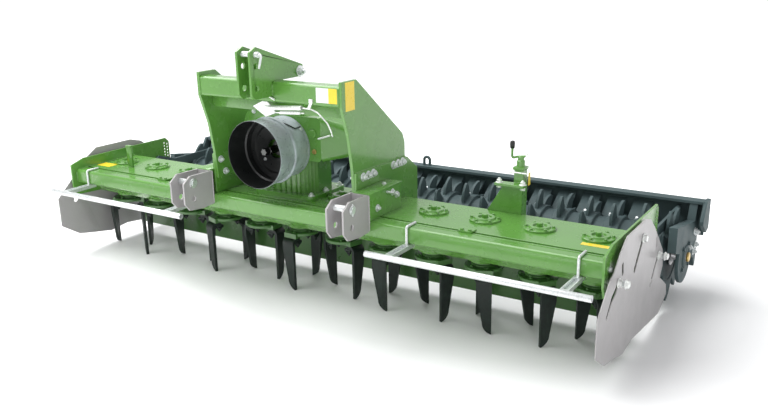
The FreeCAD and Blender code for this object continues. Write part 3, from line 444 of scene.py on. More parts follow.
def block(bm, lo, hi, chamfer=0.0):
    """Box between two corners."""
    lo, hi = Vector(lo), Vector(hi)
    made = bmesh.ops.create_cube(bm, size=1.0)
    mid, size = (lo + hi) / 2, hi - lo
    m = Matrix.Translation(mid) @ Matrix.Diagonal((*size, 1.0))
    bmesh.ops.transform(bm, matrix=m, verts=made["verts"])
    if chamfer:
        edges = list({e for v in made["verts"] for e in v.link_edges})
        bmesh.ops.bevel(bm, geom=edges, offset=chamfer, segments=2, affect="EDGES", profile=0.5)


def slab(bm, outline, a, b):
    """Prism between two copies of an outline moved to a and to b; outline is 3-D points."""
    low_ring = [bm.verts.new(Vector(p) + Vector(a)) for p in outline]
    top_ring = [bm.verts.new(Vector(p) + Vector(b)) for p in outline]
    bm.faces.new(low_ring)
    bm.faces.new(top_ring)
    stitch(bm, low_ring, top_ring)


def bent(points, radius):
    """Points of a bar bent with that inner-line radius at each corner."""
    steps = 6
    pts = [Vector(p) for p in points]
    out = [pts[0]]
    for before, corner, after in zip(pts, pts[1:], pts[2:]):
        a, b = before - corner, after - corner
        half = a.angle(b) / 2
        back = min(radius / math.tan(half), a.length * 0.49, b.length * 0.49)
        a.normalize()
        b.normalize()
        start, end = corner + a * back, corner + b * back
        for k in range(steps + 1):
            t = k / steps
            out.append(start.lerp(corner, t).lerp(corner.lerp(end, t), t))
    out.append(pts[-1])
    return out


def bar(bm, points, r, segs=12, ripple=0.0, caps=True, hollow=0.0):
    """Round bar along points; ripple makes the bead of a weld; hollow is a bore radius."""
    pts = [Vector(p) for p in points]
    rings = []
    normal = None
    for k, p in enumerate(pts):
        ahead = (pts[min(k + 1, len(pts) - 1)] - pts[max(k - 1, 0)]).normalized()
        if normal is None:
            normal = basis(ahead)[1]
        normal = (normal - ahead * normal.dot(ahead)).normalized()
        side = ahead.cross(normal)
        rr = r * (1.0 + ripple * math.sin(k * 2.4) + ripple * 0.7 * noise.noise(p * 90.0))
        ring = []
        for s in range(segs):
            a = 2 * math.pi * s / segs
            ring.append(bm.verts.new(p + (normal * math.cos(a) + side * math.sin(a)) * rr))
        rings.append(ring)
    for a, b in zip(rings, rings[1:]):
        stitch(bm, a, b)
    if caps and not hollow:
        bm.faces.new(rings[0])
        bm.faces.new(rings[-1])
    if hollow:
        for ring, k, toward in ((rings[0], 0, 1), (rings[-1], len(pts) - 1, -1)):
            centre = pts[k]
            inward = (pts[k + toward] - centre).normalized() * r * 1.6
            lip = [bm.verts.new(centre + (v.co - centre) * (hollow / r)) for v in ring]
            deep = [bm.verts.new(v.co + inward) for v in lip]
            stitch(bm, ring, lip)
            stitch(bm, lip, deep)
            bm.faces.new(deep)


def bead(bm, a, b, r=0.0035):
    """Weld bead along a straight joint."""
    a, b = Vector(a), Vector(b)
    n = max(3, int((b - a).length / 0.006))
    bar(bm, [a.lerp(b, k / n) for k in range(n + 1)], r, 6, RIPPLE)


def loop(at, axis, radius, n):
    """Closed ring of n + 1 points."""
    u, v = basis(axis)[1:]
    return [Vector(at) + (u * math.cos(a) + v * math.sin(a)) * radius
            for a in (2 * math.pi * k / n for k in range(n + 1))]


def ring_bead(bm, at, axis, radius, r, step):
    """Weld bead round a circle."""
    n = max(12, int(2 * math.pi * radius / step))
    bar(bm, loop(at, axis, radius, n), r, 6, RIPPLE, caps=False)


def disc(bm, at, axis, r, end, segs, start=0.0, edge=0.0):
    """Turned disc or pin between two heights along axis, with an edge chamfer at its far end."""
    tip = [(r, end - edge), (r - edge, end)] if edge else [(r, end)]
    lathe(bm, at, axis, [(0, start), (r, start)] + tip + [(0, end)], segs)


def on_circle(at, radius, degrees, u=X, v=Z):
    """Point of a circle, counted from u towards v."""
    a = math.radians(degrees)
    return Vector(at) + (u * math.cos(a) + v * math.sin(a)) * radius


def bolt_circle(bm, at, axis, radius, angles, r, h, u=X, v=Z):
    for degrees in angles:
        hexbolt(bm, on_circle(at, radius, degrees, u, v), axis, r, h)


# -------------------------------- CAD pieces that keep their shape
# rounding of the edges by node, named without its side; the others stay sharp
EDGE = {
    "gear_trough": 0.004, "trough_lid": 0.0022, "end_plate": 0.0016, "headstock_side": 0.002,
    "headstock_bracket": 0.002, "hitch_boxes": 0.003, "lower_clevis": 0.002,
    "lower_link_pins": 0.0015, "top_link_clevis": 0.002, "top_link_pin": 0.001,
    "gearbox": 0.0045, "guard_rail": 0.001, "level_posts": 0.002, "levelling_bar": 0.0015,
    "roller_pivots": 0.0015, "roller_shafts": 0.0015, "roller_arm": 0.002,
    "roller_beam": 0.0015, "scrapers": 0.0015,
}
ROTOR_EDGE = 0.0022


def dress_cad():
    for part in frame["record"]["subparts"]:
        name, finish = part["node"], part["material_slot"]
        obj = frame["nodes"][name]
        width = EDGE.get(name.removesuffix("_right").removesuffix("_left"), 0.0)
        if name.endswith(("_holder", "_tines")):
            width = ROTOR_EDGE
        # rotor holders and the levelling bar take the darker green: painted shade for the shadow
        # under the trough
        if name.endswith("_holder") or name == "levelling_bar":
            finish = "painted_shade_green"
        for slot in obj.material_slots:
            slot.material = MATS[finish]
        if width:
            round_edges(obj, width, weld=True)


# -------------------------------- trough, lid and beam
CAP_R = 0.068                   # outer radius of a bearing cap


def cap_places():
    """Rotors whose caps show: not those under the gearbox's foot or the headstock's sides."""
    foot = 0.178
    head = (high("headstock_tube").x - low("headstock_tube").x) / 2 + 0.015
    for x in ROTOR_X:
        if abs(x - INPUT.x) > foot and abs(abs(x - HITCH_X) - head) > CAP_R - 0.005:
            yield x


def bearing_caps():
    bm = bmesh.new()
    bolts = bmesh.new()
    for x in cap_places():
        lathe(bm, (x, Y0, LID_TOP), Z,
              [(0, 0.008), (0.026, 0.008), (0.030, 0.016), (0.044, 0.016), (0.048, 0.009),
               (CAP_R - 0.002, 0.009), (CAP_R, 0.007), (CAP_R, 0.0), (0, 0)], 48)
        hexbolt(bm, (x, Y0, LID_TOP + 0.008), Z, 0.013, 0.016, washer=1.3)
        for degrees in range(15, 375, 60):
            spot = on_circle((x, Y0, LID_TOP + 0.009), 0.057, degrees, X, Y)
            hexbolt(bolts, spot, Z, 0.0075, 0.006, turn=math.radians(degrees))
    piece("rotor_caps_turned", bm, "green_paint", 0.0008, ["rotor_caps"])
    piece("rotor_cap_bolts", bolts, "green_paint")


TAB_X, TAB_HALF = (-0.88, 0.88), 0.034          # tabs between the beam and the lid
UPRIGHT_X = -1.262              # small upright at the left end of the lid


def lid_details():
    lip, lid_high = low("trough_lid").y, high("trough_lid").z
    half = high("gear_trough").x
    bm = bmesh.new()
    gap_y = (BEAM_HI.y + lip) / 2
    for x in TAB_X:
        for dx in (-0.018, 0.018):
            hexbolt(bm, (x + dx, gap_y + 0.002, lid_high), Z, 0.0075, 0.006)
    # small bolts along the rear lip
    n = 24
    for k in range(n):
        x = -half + (k + 0.5) * 2 * half / n
        hexbolt(bm, (x, LID_REAR, LID_TOP - 0.005), Y, 0.0042, 0.004, washer=0)
    piece("lid_bolts", bm, "green_paint")

    bm = bmesh.new()
    post = Vector((UPRIGHT_X, Y0 - 0.066, LID_TOP))
    block(bm, post + Vector((-0.019, -0.006, 0)), post + Vector((0.019, 0.006, 0.114)), 0.0015)
    block(bm, post + Vector((-0.021, -0.010, 0.112)), post + Vector((0.017, 0.010, 0.122)), 0.0015)
    bead(bm, post + Vector((-0.018, -0.007, 0.001)), post + Vector((0.018, -0.007, 0.001)), 0.003)
    piece("lid_upright", bm, "green_paint")

    bm = bmesh.new()
    step = 0.002                # the lip stands this far out of the lid
    for x0, x1 in zip((-half,) + TAB_X, TAB_X + (half,)):
        a = x0 + (TAB_HALF if x0 != -half else 0.004)
        b = x1 - (TAB_HALF if x1 != half else 0.004)
        block(bm, (a, lip - step, LID_TOP - 0.014), (b, lip + 0.010, LID_TOP + step), 0.0015)
    piece("lid_front_lip", bm, "green_paint")

    bm = bmesh.new()
    z = LID_TOP + 0.002
    (y0, z0), (y1, z1) = BEAM_LO.yz, BEAM_HI.yz
    for sx in (-1, 1):
        x = sx * (half - 0.003)
        bead(bm, (x, y0 + 0.01, z1 + 0.001), (x, y1 - 0.01, z1 + 0.001))
        bead(bm, (x, y0 - 0.001, z0 + 0.01), (x, y0 - 0.001, z1 - 0.01))
        bead(bm, (x, lip, z), (x, LID_REAR, z))
    piece("trough_welds", bm, "green_paint")


def end_plate_details():
    bm = bmesh.new()
    inner = low("end_plate_right").x
    for sx in (-1, 1):
        for y, z in ((-0.10, 0.44), (0.0, 0.44), (0.10, 0.44), (-0.10, 0.37), (0.10, 0.37),
                     (-0.225, 0.45)):
            hexbolt(bm, (sx * PLATE_OUT, Y0 + y, z), X * sx, 0.0095, 0.007)
    piece("end_plate_bolts", bm, "zinc")
    bm = bmesh.new()
    for sx in (-1, 1):
        x = sx * (inner + 0.0002)
        rear = LID_REAR + 0.012
        block(bm, (x - 0.012, rear, 0.36), (x + 0.012, rear + 0.10, 0.368), 0.001)
        bead(bm, (x, LID_REAR + 0.002, 0.36), (x, LID_REAR + 0.002, 0.478))
    piece("end_plate_ribs", bm, "green_paint")


# -------------------------------- side shields
FOLD = (-0.19, -0.155)          # the pressed step, from the rotor line
FOLD_IN = 0.005
FOLD_LEAN, FOLD_Z = 0.36, 0.19  # its lean forward per height, and the height where FOLD holds


def side_shield(side):
    node = "side_shield_" + side
    sign = 1 if side == "right" else -1
    bm = bmesh.new()
    bm.from_mesh(frame["nodes"][node].data)
    bmesh.ops.remove_doubles(bm, verts=bm.verts[:], dist=SAME)
    bmesh.ops.dissolve_limit(bm, angle_limit=math.radians(1), verts=bm.verts[:], edges=bm.edges[:])
    for offset in FOLD:
        geom = bm.verts[:] + bm.edges[:] + bm.faces[:]
        bmesh.ops.bisect_plane(bm, geom=geom, plane_co=(0, Y0 + offset, FOLD_Z),
                               plane_no=(0, 1, FOLD_LEAN), dist=1e-6)
    for v in bm.verts:
        d = v.co.y - Y0 + (v.co.z - FOLD_Z) * FOLD_LEAN
        t = min(1.0, max(0.0, (FOLD[1] - d) / (FOLD[1] - FOLD[0])))
        v.co.x -= sign * FOLD_IN * t
    bmesh.ops.triangulate(bm, faces=[f for f in bm.faces if len(f.verts) > 4])
    piece(node + "_pressed", bm, "grey_paint", 0.0012, [node], 20.0, "shield_" + side)


FRONT_STUD, TOP_STUD, REAR_STUD = (-0.197, 0.392), (0.110, 0.478), (0.375, 0.322)
AIR = 0.0008                    # between the shield and the washers it slides on


def stud_stacks():
    bm = bmesh.new()
    springs = bmesh.new()
    for sx in (-1, 1):
        for stud in (FRONT_STUD, TOP_STUD, REAR_STUD):
            out = X * sx
            u, v = basis(out)[1:]
            at = Vector((0, Y0 + stud[0], stud[1]))
            root, face = at + out * PLATE_OUT, at + out * (SHIELD_OUT + AIR)
            # the front spacer leaves room for the shield's pressed step when it is pulled up
            stand = SHIELD_IN - PLATE_OUT - AIR - (FOLD_IN if stud == FRONT_STUD else 0)
            disc(bm, root, out, 0.014, stand, 20)
            disc(bm, root, out, 0.008, 0.034, 16, stand)
            disc(bm, face, out, 0.019, 0.005, 28, edge=0.001)
            hexbolt(bm, face + out * 0.005, out, 0.0155, 0.012, washer=0, turn=0.3)
            if stud == TOP_STUD:
                continue
            disc(bm, face, out, 0.0078, 0.044, 16, 0.017)
            disc(bm, face + out * 0.027, out, 0.019, 0.004, 28, edge=0.001)
            hexbolt(bm, face + out * 0.031, out, 0.0155, 0.011, washer=0, turn=0.8)
            turns, steps = 2.2, 44
            pts = []
            for k in range(steps + 1):
                a = 2 * math.pi * turns * k / steps
                pts.append(face + out * (0.019 + 0.0065 * k / steps)
                           + (u * math.cos(a) + v * math.sin(a)) * 0.0115)
            bar(springs, pts, 0.0014, 6)
    piece("shield_stud_stacks", bm, "white_zinc", 0.0006, ["shield_studs"])
    piece("shield_stud_springs", springs, "zinc")


# -------------------------------- headstock
def headstock_welds():
    (x0, y0, z0), (x1, y1, z1) = span("headstock_tube")
    cut = 0.012                 # corner of the square tube
    bm = bmesh.new()
    for x in (x1 - 0.002, x0 + 0.002):
        corners = [(x, y0, z0 + cut), (x, y0, z1 - cut), (x, y0 + cut, z1), (x, y1 - cut, z1),
                   (x, y1, z1 - cut), (x, y1, z0 + cut), (x, y1 - cut, z0), (x, y0 + cut, z0)]
        for a, b in zip(corners, corners[1:] + corners[:1]):
            bead(bm, a, b)
    ear_lo, ear_hi = span("top_link_clevis")
    for x in (ear_lo.x - 0.0005, ear_hi.x + 0.0005):
        bead(bm, (x, y0 + 0.01, z1), (x, y1 - 0.01, z1))
        bead(bm, (x, y0 - 0.0005, z1 - 0.06), (x, y0 - 0.0005, z1 - cut))
    top = high("headstock_bracket_right").z
    foot = low("headstock_side_right").z + 0.001
    for sx, face in ((1, high("headstock_side_right").x), (-1, low("headstock_side_left").x)):
        bead(bm, (face, Y0 - 0.228, top), (face, Y0 + 0.190, top - 0.009), 0.004)
        inner = face - sx * 0.015
        bead(bm, (inner, Y0 - 0.21, foot), (inner, Y0 + 0.19, foot), 0.003)
    piece("headstock_welds", bm, "green_paint")

    bm = bmesh.new()
    flange_foot = 0.915
    block(bm, (x0 + 0.004, y1 - 0.008, flange_foot), (x1 - 0.004, y1 - 0.001, z0 + 0.001), 0.001)
    piece("headstock_rear_flange", bm, "green_paint")


def headstock_bolts():
    bm = bmesh.new()
    right, left = high("headstock_bracket_right"), low("headstock_bracket_left")
    for sx, face in ((1, right.x - 0.010), (-1, left.x + 0.010)):
        for y in (-0.182, -0.142, -0.102, 0.068, 0.108, 0.148):
            hexbolt(bm, (face, Y0 + y, right.z - 0.025), X * sx, 0.0145, 0.013, washer=1.35,
                    tail=0.006, turn=y * 9)
    for sx, x in ((-1, low("headstock_side_right").x), (1, high("headstock_side_left").x)):
        for y, z in ((-0.205, 0.650), (-0.177, 0.585), (0.10, 0.60), (0.16, 0.60)):
            hexbolt(bm, (x, Y0 + y, z), X * sx, 0.012, 0.010, tail=0.008)
    piece("headstock_bolts", bm, "zinc")


def hitch_boxes():
    """Folded lids and inclined bolts on the boxes beside the headstock."""
    bm = bmesh.new()
    bolts = bmesh.new()
    lo, hi = span("hitch_boxes")
    right, left = high("headstock_bracket_right").x - 0.008, low("headstock_bracket_left").x + 0.008
    for sx, a, b, outer in ((1, right, hi.x, hi.x), (-1, lo.x, left, lo.x)):
        over = 0.003 if sx > 0 else 0
        block(bm, (a, lo.y - 0.004, hi.z - 0.002), (b + over, hi.y + 0.002, hi.z + 0.003), 0.0012)
        hexbolt(bolts, (outer, Y0 - 0.198, 0.530), X * sx, 0.0115, 0.009, tail=0.005)
        reach = min(hi.y - 0.012, Y0 - 0.031)
        x = outer + sx * 0.006
        bar(bolts, [(x, Y0 - 0.127, 0.586), (x, reach, 0.550)], 0.006)
        for y, z in ((-0.075, 0.572), (-0.040, 0.553)):
            if Y0 + y < hi.y - 0.010:
                hexbolt(bolts, (outer, Y0 + y, z), X * sx, 0.011, 0.010)
        hexbolt(bolts, ((a + b) / 2, hi.y, hi.z - 0.05), Y, 0.009, 0.008)
        hexbolt(bolts, ((a + b) / 2, (lo.y + hi.y) / 2 + 0.05, hi.z + 0.003), Z, 0.008, 0.006)
    piece("hitch_box_lids", bm, "green_paint")
    piece("hitch_box_bolts", bolts, "zinc")


def plates():
    """Blank foil plates where such a machine carries signs."""
    (_, front, z0), (right, _, z1) = span("headstock_tube")
    z0, z1 = z0 + 0.017, z1 - 0.010
    t = 0.0006                  # thickness of the foil
    bm = bmesh.new()
    yellow = bmesh.new()
    x0, x1 = right - 0.118, right - 0.010
    block(bm, (x0, front - t, z0), ((x0 + x1) / 2 + 0.01, front, z1))
    block(yellow, ((x0 + x1) / 2 + 0.0105, front - t, z0), (x1, front, z1))
    face = high("headstock_side_right").x
    block(yellow, (face, Y0 - 0.280, 0.956), (face + t, Y0 - 0.213, 1.078))
    end = high("trough_lid").x
    block(yellow, (end - 0.150, Y0 - 0.105, LID_TOP), (end - 0.025, Y0 - 0.075, LID_TOP + t))
    block(yellow, (-end + 0.008, Y0 - 0.128, LID_TOP), (-end + 0.112, Y0 - 0.062, LID_TOP + t))
    post = high("level_posts")
    block(yellow, (post.x, LID_REAR + 0.006, post.z - 0.075),
          (post.x + t, LID_REAR + 0.030, post.z - 0.018))
    piece("plate_white", bm, "white_foil")
    piece("plates_yellow", yellow, "yellow_foil")


def shaft_rest():
    """Folding rest for the drive shaft under the headstock tube: plate, tube, hook and spring."""
    y, top = middle("shaft_rest").y, high("shaft_rest").z
    tube_front = low("headstock_tube").y - 0.005

    def at(x, z, depth=y):
        return (HITCH_X + x, depth, z)

    bm = bmesh.new()
    outline = [at(-0.084, top - 0.026), at(-0.028, top), at(0.002, top), at(0.022, top - 0.016),
               at(0.046, top - 0.047), at(-0.012, top - 0.068)]
    slab(bm, outline, (0, -0.003, 0), (0, 0.003, 0))
    slab(bm, [at(0.227, 0.957), at(0.242, 0.957), at(0.257, 0.985), at(0.243, 0.987)],
         (0, -0.013, 0), (0, -0.006, 0))
    block(bm, at(0.240, 0.985, y - 0.016), at(0.260, 1.003, y - 0.005), 0.001)
    piece("shaft_rest_plate", bm, "white_zinc", 0.001, ["shaft_rest"])
    bm = bmesh.new()
    bar(bm, [at(-0.016, top - 0.028, y - 0.006), at(0.196, 0.9600, y - 0.006)], 0.0105, 20,
        hollow=0.007)
    end = Vector(at(0.200, 0.9594, y - 0.005))
    hook = ((0, 0, 0), (0.046, 0, -0.001), (0.078, 0.002, -0.014), (0.100, 0.004, -0.034),
            (0.122, 0.010, -0.058), (0.131, 0.020, -0.092), (0.128, 0.034, -0.118))
    bar(bm, bent([end + Vector(p) for p in hook], 0.03), 0.0034, 10)
    bar(bm, [at(0.128, 0.781, Y0 - 0.106), at(0.196, 0.803, Y0 - 0.106)], 0.0045)
    bar(bm, [at(0.015, 1.004, tube_front), at(0.054, 0.986, tube_front)], 0.0045, 10)
    bar(bm, [at(0.074, 0.9300, y - 0.004), at(0.186, 0.9365, y - 0.004)], 0.0075, 16)
    bar(bm, [at(0.043, 0.9282, y - 0.004), at(0.206, 0.9377, y - 0.004)], 0.003, 10)
    piece("shaft_rest_tube", bm, "white_zinc")


# -------------------------------- gearbox, guard and drive stub
def gearbox_details():
    front, rear, top = Y0 - 0.095, Y0 + 0.110, 0.875
    column_foot, column_top = LID_TOP + 0.018, 0.668
    cover_x, cover_z = INPUT.x - 0.125, 0.783       # round cover in the left half
    gx = INPUT.x
    bm = bmesh.new()
    for dx in (-0.155, 0.155):
        for dy in (-0.115, 0.0, 0.115):
            hexbolt(bm, (gx + dx, Y0 + dy, LID_TOP + 0.020), Z, 0.011, 0.009, tail=0.005)
    cover = [20 + k * 360 / 7 for k in range(7)]
    bolt_circle(bm, (cover_x, front, cover_z), -Y, 0.112, cover, 0.008, 0.007)
    bolt_circle(bm, (cover_x, rear, cover_z), Y, 0.112, cover, 0.008, 0.007)
    bolt_circle(bm, (gx, Y0 + 0.140, 0.757), Y, 0.060, range(0, 360, 60), 0.007, 0.006)
    for dx in (-0.062, 0.0, 0.072):
        for dy in (-0.058, 0.068):
            hexbolt(bm, (gx + dx, Y0 + dy, top + 0.014), Z, 0.007, 0.006)
    piece("gearbox_bolts", bm, "zinc")

    # ribs up the column and its slanted corners, a flange round the top cover, caps and plugs
    bm = bmesh.new()
    for dx in (-0.078, -0.045, -0.012, 0.021, 0.054, 0.078):
        block(bm, (gx + dx - 0.004, front - 0.004, column_foot),
              (gx + dx + 0.004, front + 0.002, column_top), 0.0015)
    for sx in (-1, 1):
        out = Vector((sx * 0.7071, -0.7071, 0))
        side = Vector((0.7071, sx * 0.7071, 0)) * 0.004
        for along in (0.012, 0.024, 0.036, 0.048):
            at = Vector((gx + sx * (0.080 + along), front + along, 0))
            rib = [at - side, at + side, at + side + out * 0.005, at - side + out * 0.005]
            slab(bm, rib, (0, 0, column_foot), (0, 0, column_top))
    block(bm, (gx - 0.082, Y0 - 0.078, top - 0.001), (gx + 0.092, Y0 + 0.088, top + 0.006), 0.002)
    lathe(bm, (gx + 0.02, Y0 + 0.005, top + 0.014), Z,
          [(0, 0), (0.020, 0), (0.020, 0.012), (0.016, 0.016), (0.016, 0.026), (0.010, 0.030),
           (0, 0.030)], 24)
    lathe(bm, (cover_x, front, cover_z), -Y,
          [(0, 0.010), (0.070, 0.010), (0.076, 0.004), (0.098, 0.004), (0.100, 0.0), (0, 0)], 48)
    lathe(bm, (gx + 0.165, front, 0.800), -Y,
          [(0, 0.008), (0.018, 0.008), (0.020, 0.006), (0.020, 0), (0, 0)], 24)
    piece("gearbox_castings", bm, "green_paint", 0.0015)

    bm = bmesh.new()
    lathe(bm, (gx + 0.170, front, 0.715), -Y,
          [(0, 0.006), (0.010, 0.006), (0.012, 0.004), (0.012, 0), (0, 0)], 24)
    piece("gearbox_sight_glass", bm, "brass")


def guard():
    """Moulded guard round the drive stub: rolled mouth, groove, a closed inner wall and a seam."""
    lo, hi = span("pto_guard")
    at = (INPUT.x, lo.y, INPUT.z)
    length = hi.y - lo.y
    mouth, rear, t = 0.157, 0.145, 0.0042
    groove = 0.110

    def r(along):
        return mouth + (rear - mouth) * along / length

    ridge = r(groove)
    outer = [(mouth - 0.001, 0.0), (mouth, 0.0015), (mouth, 0.005), (r(0.010) - 0.001, 0.009),
             (ridge - 0.001, groove - 0.004), (ridge + 0.004, groove),
             (ridge + 0.0055, groove + 0.004), (ridge + 0.0055, groove + 0.010),
             (ridge + 0.004, groove + 0.014), (ridge - 0.004, groove + 0.017),
             (ridge - 0.004, groove + 0.024), (r(length) - 0.002, length - 0.012),
             (r(length), length - 0.010), (r(length), length), (r(length) - t - 0.003, length)]
    inner = [(r(length) - t - 0.003, length), (r(0.160) - t - 0.004, 0.160),
             (ridge - t - 0.006, groove), (r(0.104) - t, 0.104), (r(0.006) - t, 0.006),
             (mouth - 0.003, 0.0), (mouth - 0.001, 0.0)]
    bm = bmesh.new()
    lathe(bm, at, Y, inner, 96, close=False)
    wall = r(0.150) - t - 0.002
    lathe(bm, at, Y, [(wall, 0.142), (0.118, 0.144), (0.112, 0.152), (0.060, 0.156), (0.044, 0.150),
                      (0.044, 0.156), (0.060, 0.162), (wall, 0.160)], 72)
    piece("pto_guard_inside", bm, "black_plastic", 0, ["pto_guard"], 28.0)
    bm = bmesh.new()
    lathe(bm, at, Y, outer, 96, close=False)
    # the outside is coloured pale grey: painted reflection of the lights on the black plastic
    piece("pto_guard_outside", bm, "painted_sheen_plastic", degrees=28.0)

    bm = bmesh.new()
    peak, peak_along = math.radians(43.5), 0.169
    for start, start_along in ((math.radians(61.5), 0.127), (math.radians(45.0), 0.215)):
        pts = []
        for k in range(9):
            f = k / 8
            a = start + (peak - start) * f
            along = start_along + (peak_along - start_along) * f
            rr = r(along) + 0.0005
            pts.append((INPUT.x + rr * math.cos(a), lo.y + along, INPUT.z + rr * math.sin(a)))
        bar(bm, pts, 0.0026, 8)
    piece("pto_guard_seam", bm, "black_plastic")

    bm = bmesh.new()
    inside = (INPUT.x, lo.y + 0.155, INPUT.z)
    bolt_circle(bm, inside, -Y, 0.090, (100, 220, 340), 0.006, 0.005)
    for degrees in (40, 150, 260):
        out = on_circle((0, 0, 0), 1, degrees)
        spot = Vector((INPUT.x, hi.y - 0.018, INPUT.z)) + out * (r(length) - 0.001)
        hexbolt(bm, spot, out, 0.006, 0.005)
    piece("pto_guard_bolts", bm, "zinc")


def drive_stub():
    """Six-key spline over the stub, with its locking groove."""
    lo, hi = span("pto_stub")
    x, _, z = middle("pto_stub")
    shaft, keys = 0.108, 6
    valley, crest = 0.0148, 0.0175
    bm = bmesh.new()
    ring = []
    for k in range(keys):
        a = 2 * math.pi * k / keys
        for da, r in ((-0.26, valley), (-0.22, crest), (0.22, crest), (0.26, valley)):
            ring.append((a + da, r))
    rows = []
    for y, scale in ((0.0, 0.90), (0.003, 1.0), (0.024, 1.0), (0.026, 0.84), (0.034, 0.84),
                     (0.036, 1.0), (shaft, 1.0)):
        rows.append([bm.verts.new((x + r * scale * math.cos(a), lo.y + y,
                                   z + r * scale * math.sin(a))) for a, r in ring])
    for a, b in zip(rows, rows[1:]):
        stitch(bm, a, b)
    bm.faces.new(rows[0])
    rest = hi.y - lo.y - shaft
    lathe(bm, (x, lo.y + shaft, z), Y,
          [(0, 0), (0.026, 0), (0.028, 0.002), (0.036, 0.002), (0.038, 0.004), (0.038, rest),
           (0, rest)], 40)
    piece("pto_stub_splined", bm, "oiled_steel", 0.0004, ["pto_stub"], body="drive_shaft")


# -------------------------------- levelling gear
POST_X = (-0.636, 0.958)
POST_HALF = 0.022
SHELF = 0.624                   # upper face of the plates on the posts


def level_details():
    bm = bmesh.new()
    knobs = bmesh.new()
    pins = bmesh.new()
    top, handle_top = high("level_posts").z, high("level_cranks").z
    y, y_pin = LID_REAR + POST_HALF, LID_REAR - 0.028
    for x in POST_X:
        block(bm, (x - 0.027, y - 0.027, top - 0.010), (x + 0.027, y + 0.027, top + 0.004), 0.003)
        lathe(bm, (x, y, top + 0.002), Z,
              [(0, 0), (0.018, 0), (0.018, 0.026), (0.014, 0.030), (0.014, 0.044),
               (0.009, 0.047), (0, 0.047)], 28)
        crank = [(x + 0.020, y, top + 0.050), (x - 0.020, y, top + 0.044),
                 (x - 0.042, y, top + 0.036), (x - 0.042, y, handle_top - 0.010)]
        bar(bm, bent(crank, 0.012), 0.0055)
        lathe(knobs, (x - 0.042, y, handle_top - 0.034), Z,
              [(0, 0), (0.008, 0), (0.0105, 0.004), (0.0115, 0.020), (0.010, 0.031),
               (0.006, 0.034), (0, 0.034)], 20)
        bar(pins, [(x - 0.046, y - 0.030, top - 0.020), (x + 0.040, y - 0.030, top - 0.020)],
            0.0035, 10)
        bar(pins, [(x + 0.018, y + 0.012, top + 0.058), (x + 0.034, y + 0.002, top + 0.062)],
            0.0035, 10)
        for dx in (-0.078, 0.032):
            hexbolt(pins, (x + dx, y_pin, SHELF), Z, 0.011, 0.012, tail=0.006)
            disc(pins, (x + dx, y_pin, SHELF - 0.012), -Z, 0.012, 0.010, 6)
        disc(pins, (x + POST_HALF, LID_REAR - 0.012, 0.604), X, 0.010, 0.012, 16)
        foot = (x - POST_HALF, LID_REAR + 0.001, LID_TOP + 0.004)
        bead(bm, foot, (foot[0], foot[1], 0.606), 0.003)
    piece("level_cranks_turned", bm, "green_paint", 0.0006, ["level_cranks"])
    piece("level_crank_knobs", knobs, "black_plastic")
    piece("level_pins", pins, "white_zinc")

    bm = bmesh.new()
    lo = low("levelling_bar")
    for x in POST_X:
        for dz in (0.035, 0.095):
            for dx in (-0.036, 0.036):
                hexbolt(bm, (x + dx, lo.y + 0.008, lo.z + dz), Y, 0.009, 0.007)
    piece("levelling_bar_bolts", bm, "zinc", body="levelling_board")


# -------------------------------- rotors
HOLDER_Z = low("rotor_06_holder").z


def rotor_angle(n):
    """How far each rotor stands turned in the CAD model."""
    return math.radians(35.0 - 7.0 * n if n % 2 else 41.0 + 7.5 * n)


def rotor_details():
    for n, x in enumerate(ROTOR_X, 1):
        body = "rotor_%02d" % n
        at = Vector((x, Y0, HOLDER_Z))
        turn = Matrix.Rotation(rotor_angle(n), 4, "Z")
        spin = Matrix.Translation(at) @ turn @ Matrix.Translation(-at)
        rim = bmesh.new()
        lathe(rim, at, Z, [(0.052, 0.013), (0.080, 0.013), (0.0855, 0.010), (0.0865, 0.014),
                           (0.0865, 0.022), (0.084, 0.025), (0.054, 0.026)], 48)
        lathe(rim, at + Z * 0.026, Z, [(0.050, 0), (0.058, 0), (0.058, 0.006), (0.054, 0.010),
                                       (0.050, 0.010)], 40)
        # painted shade: the holder rims take the darker green of the shadow under the trough
        piece(body + "_rim", rim, "painted_shade_green", 0.0008, body=body)
        clamp = bmesh.new()
        for dx in (-0.066, 0.066):
            for dy in (-0.026, 0.026):
                block(clamp, at + Vector((dx - 0.020, dy - 0.010, -0.029)),
                      at + Vector((dx + 0.020, dy + 0.010, -0.015)), 0.002)
            for dy in (-0.024, 0.024):
                hexbolt(clamp, at + Vector((dx, dy, -0.029)), -Z, 0.0115, 0.010, tail=0.008)
        bmesh.ops.transform(clamp, matrix=spin, verts=clamp.verts[:])
        piece(body + "_clamps", clamp, "tine_steel", body=body)
        heads = bmesh.new()
        bolt_circle(heads, at + Z * 0.0255, Z, 0.070, range(10, 370, 60), 0.0065, 0.005, X, Y)
        bmesh.ops.transform(heads, matrix=spin, verts=heads.verts[:])
        # painted shade: the holder bolts take the same darker green
        piece(body + "_bolts", heads, "painted_shade_green", body=body)


# -------------------------------- packer roller
TEETH = 9
TOOTH_R, RIM_R, DRUM_R = 0.225, 0.147, 0.130
RING_PITCH, RING_T = 0.130, 0.014
RING_PAIRS = 12
RING_TURNS = (5.5, -11.0)


def tooth_outline(turn):
    """Shark-fin teeth: a bulging front edge, a blunt tip and a steep back."""
    front = [(-24.0, RIM_R), (-21.5, 0.162), (-18.0, 0.178), (-14.0, 0.192), (-9.5, 0.205),
             (-5.0, 0.217)]
    tip = [(-1.8, 0.2240), (0.0, TOOTH_R)]
    back = [(1.2, 0.2225), (3.2, 0.200), (5.0, 0.172), (7.0, RIM_R)]
    foot = [(11.0, RIM_R), (13.5, RIM_R)]
    pts = []
    for k in range(TEETH):
        for deg, r in front + tip + back + foot:
            a = math.radians(turn + 360.0 * k / TEETH + deg)
            pts.append((r * math.sin(a), r * math.cos(a)))
    return pts


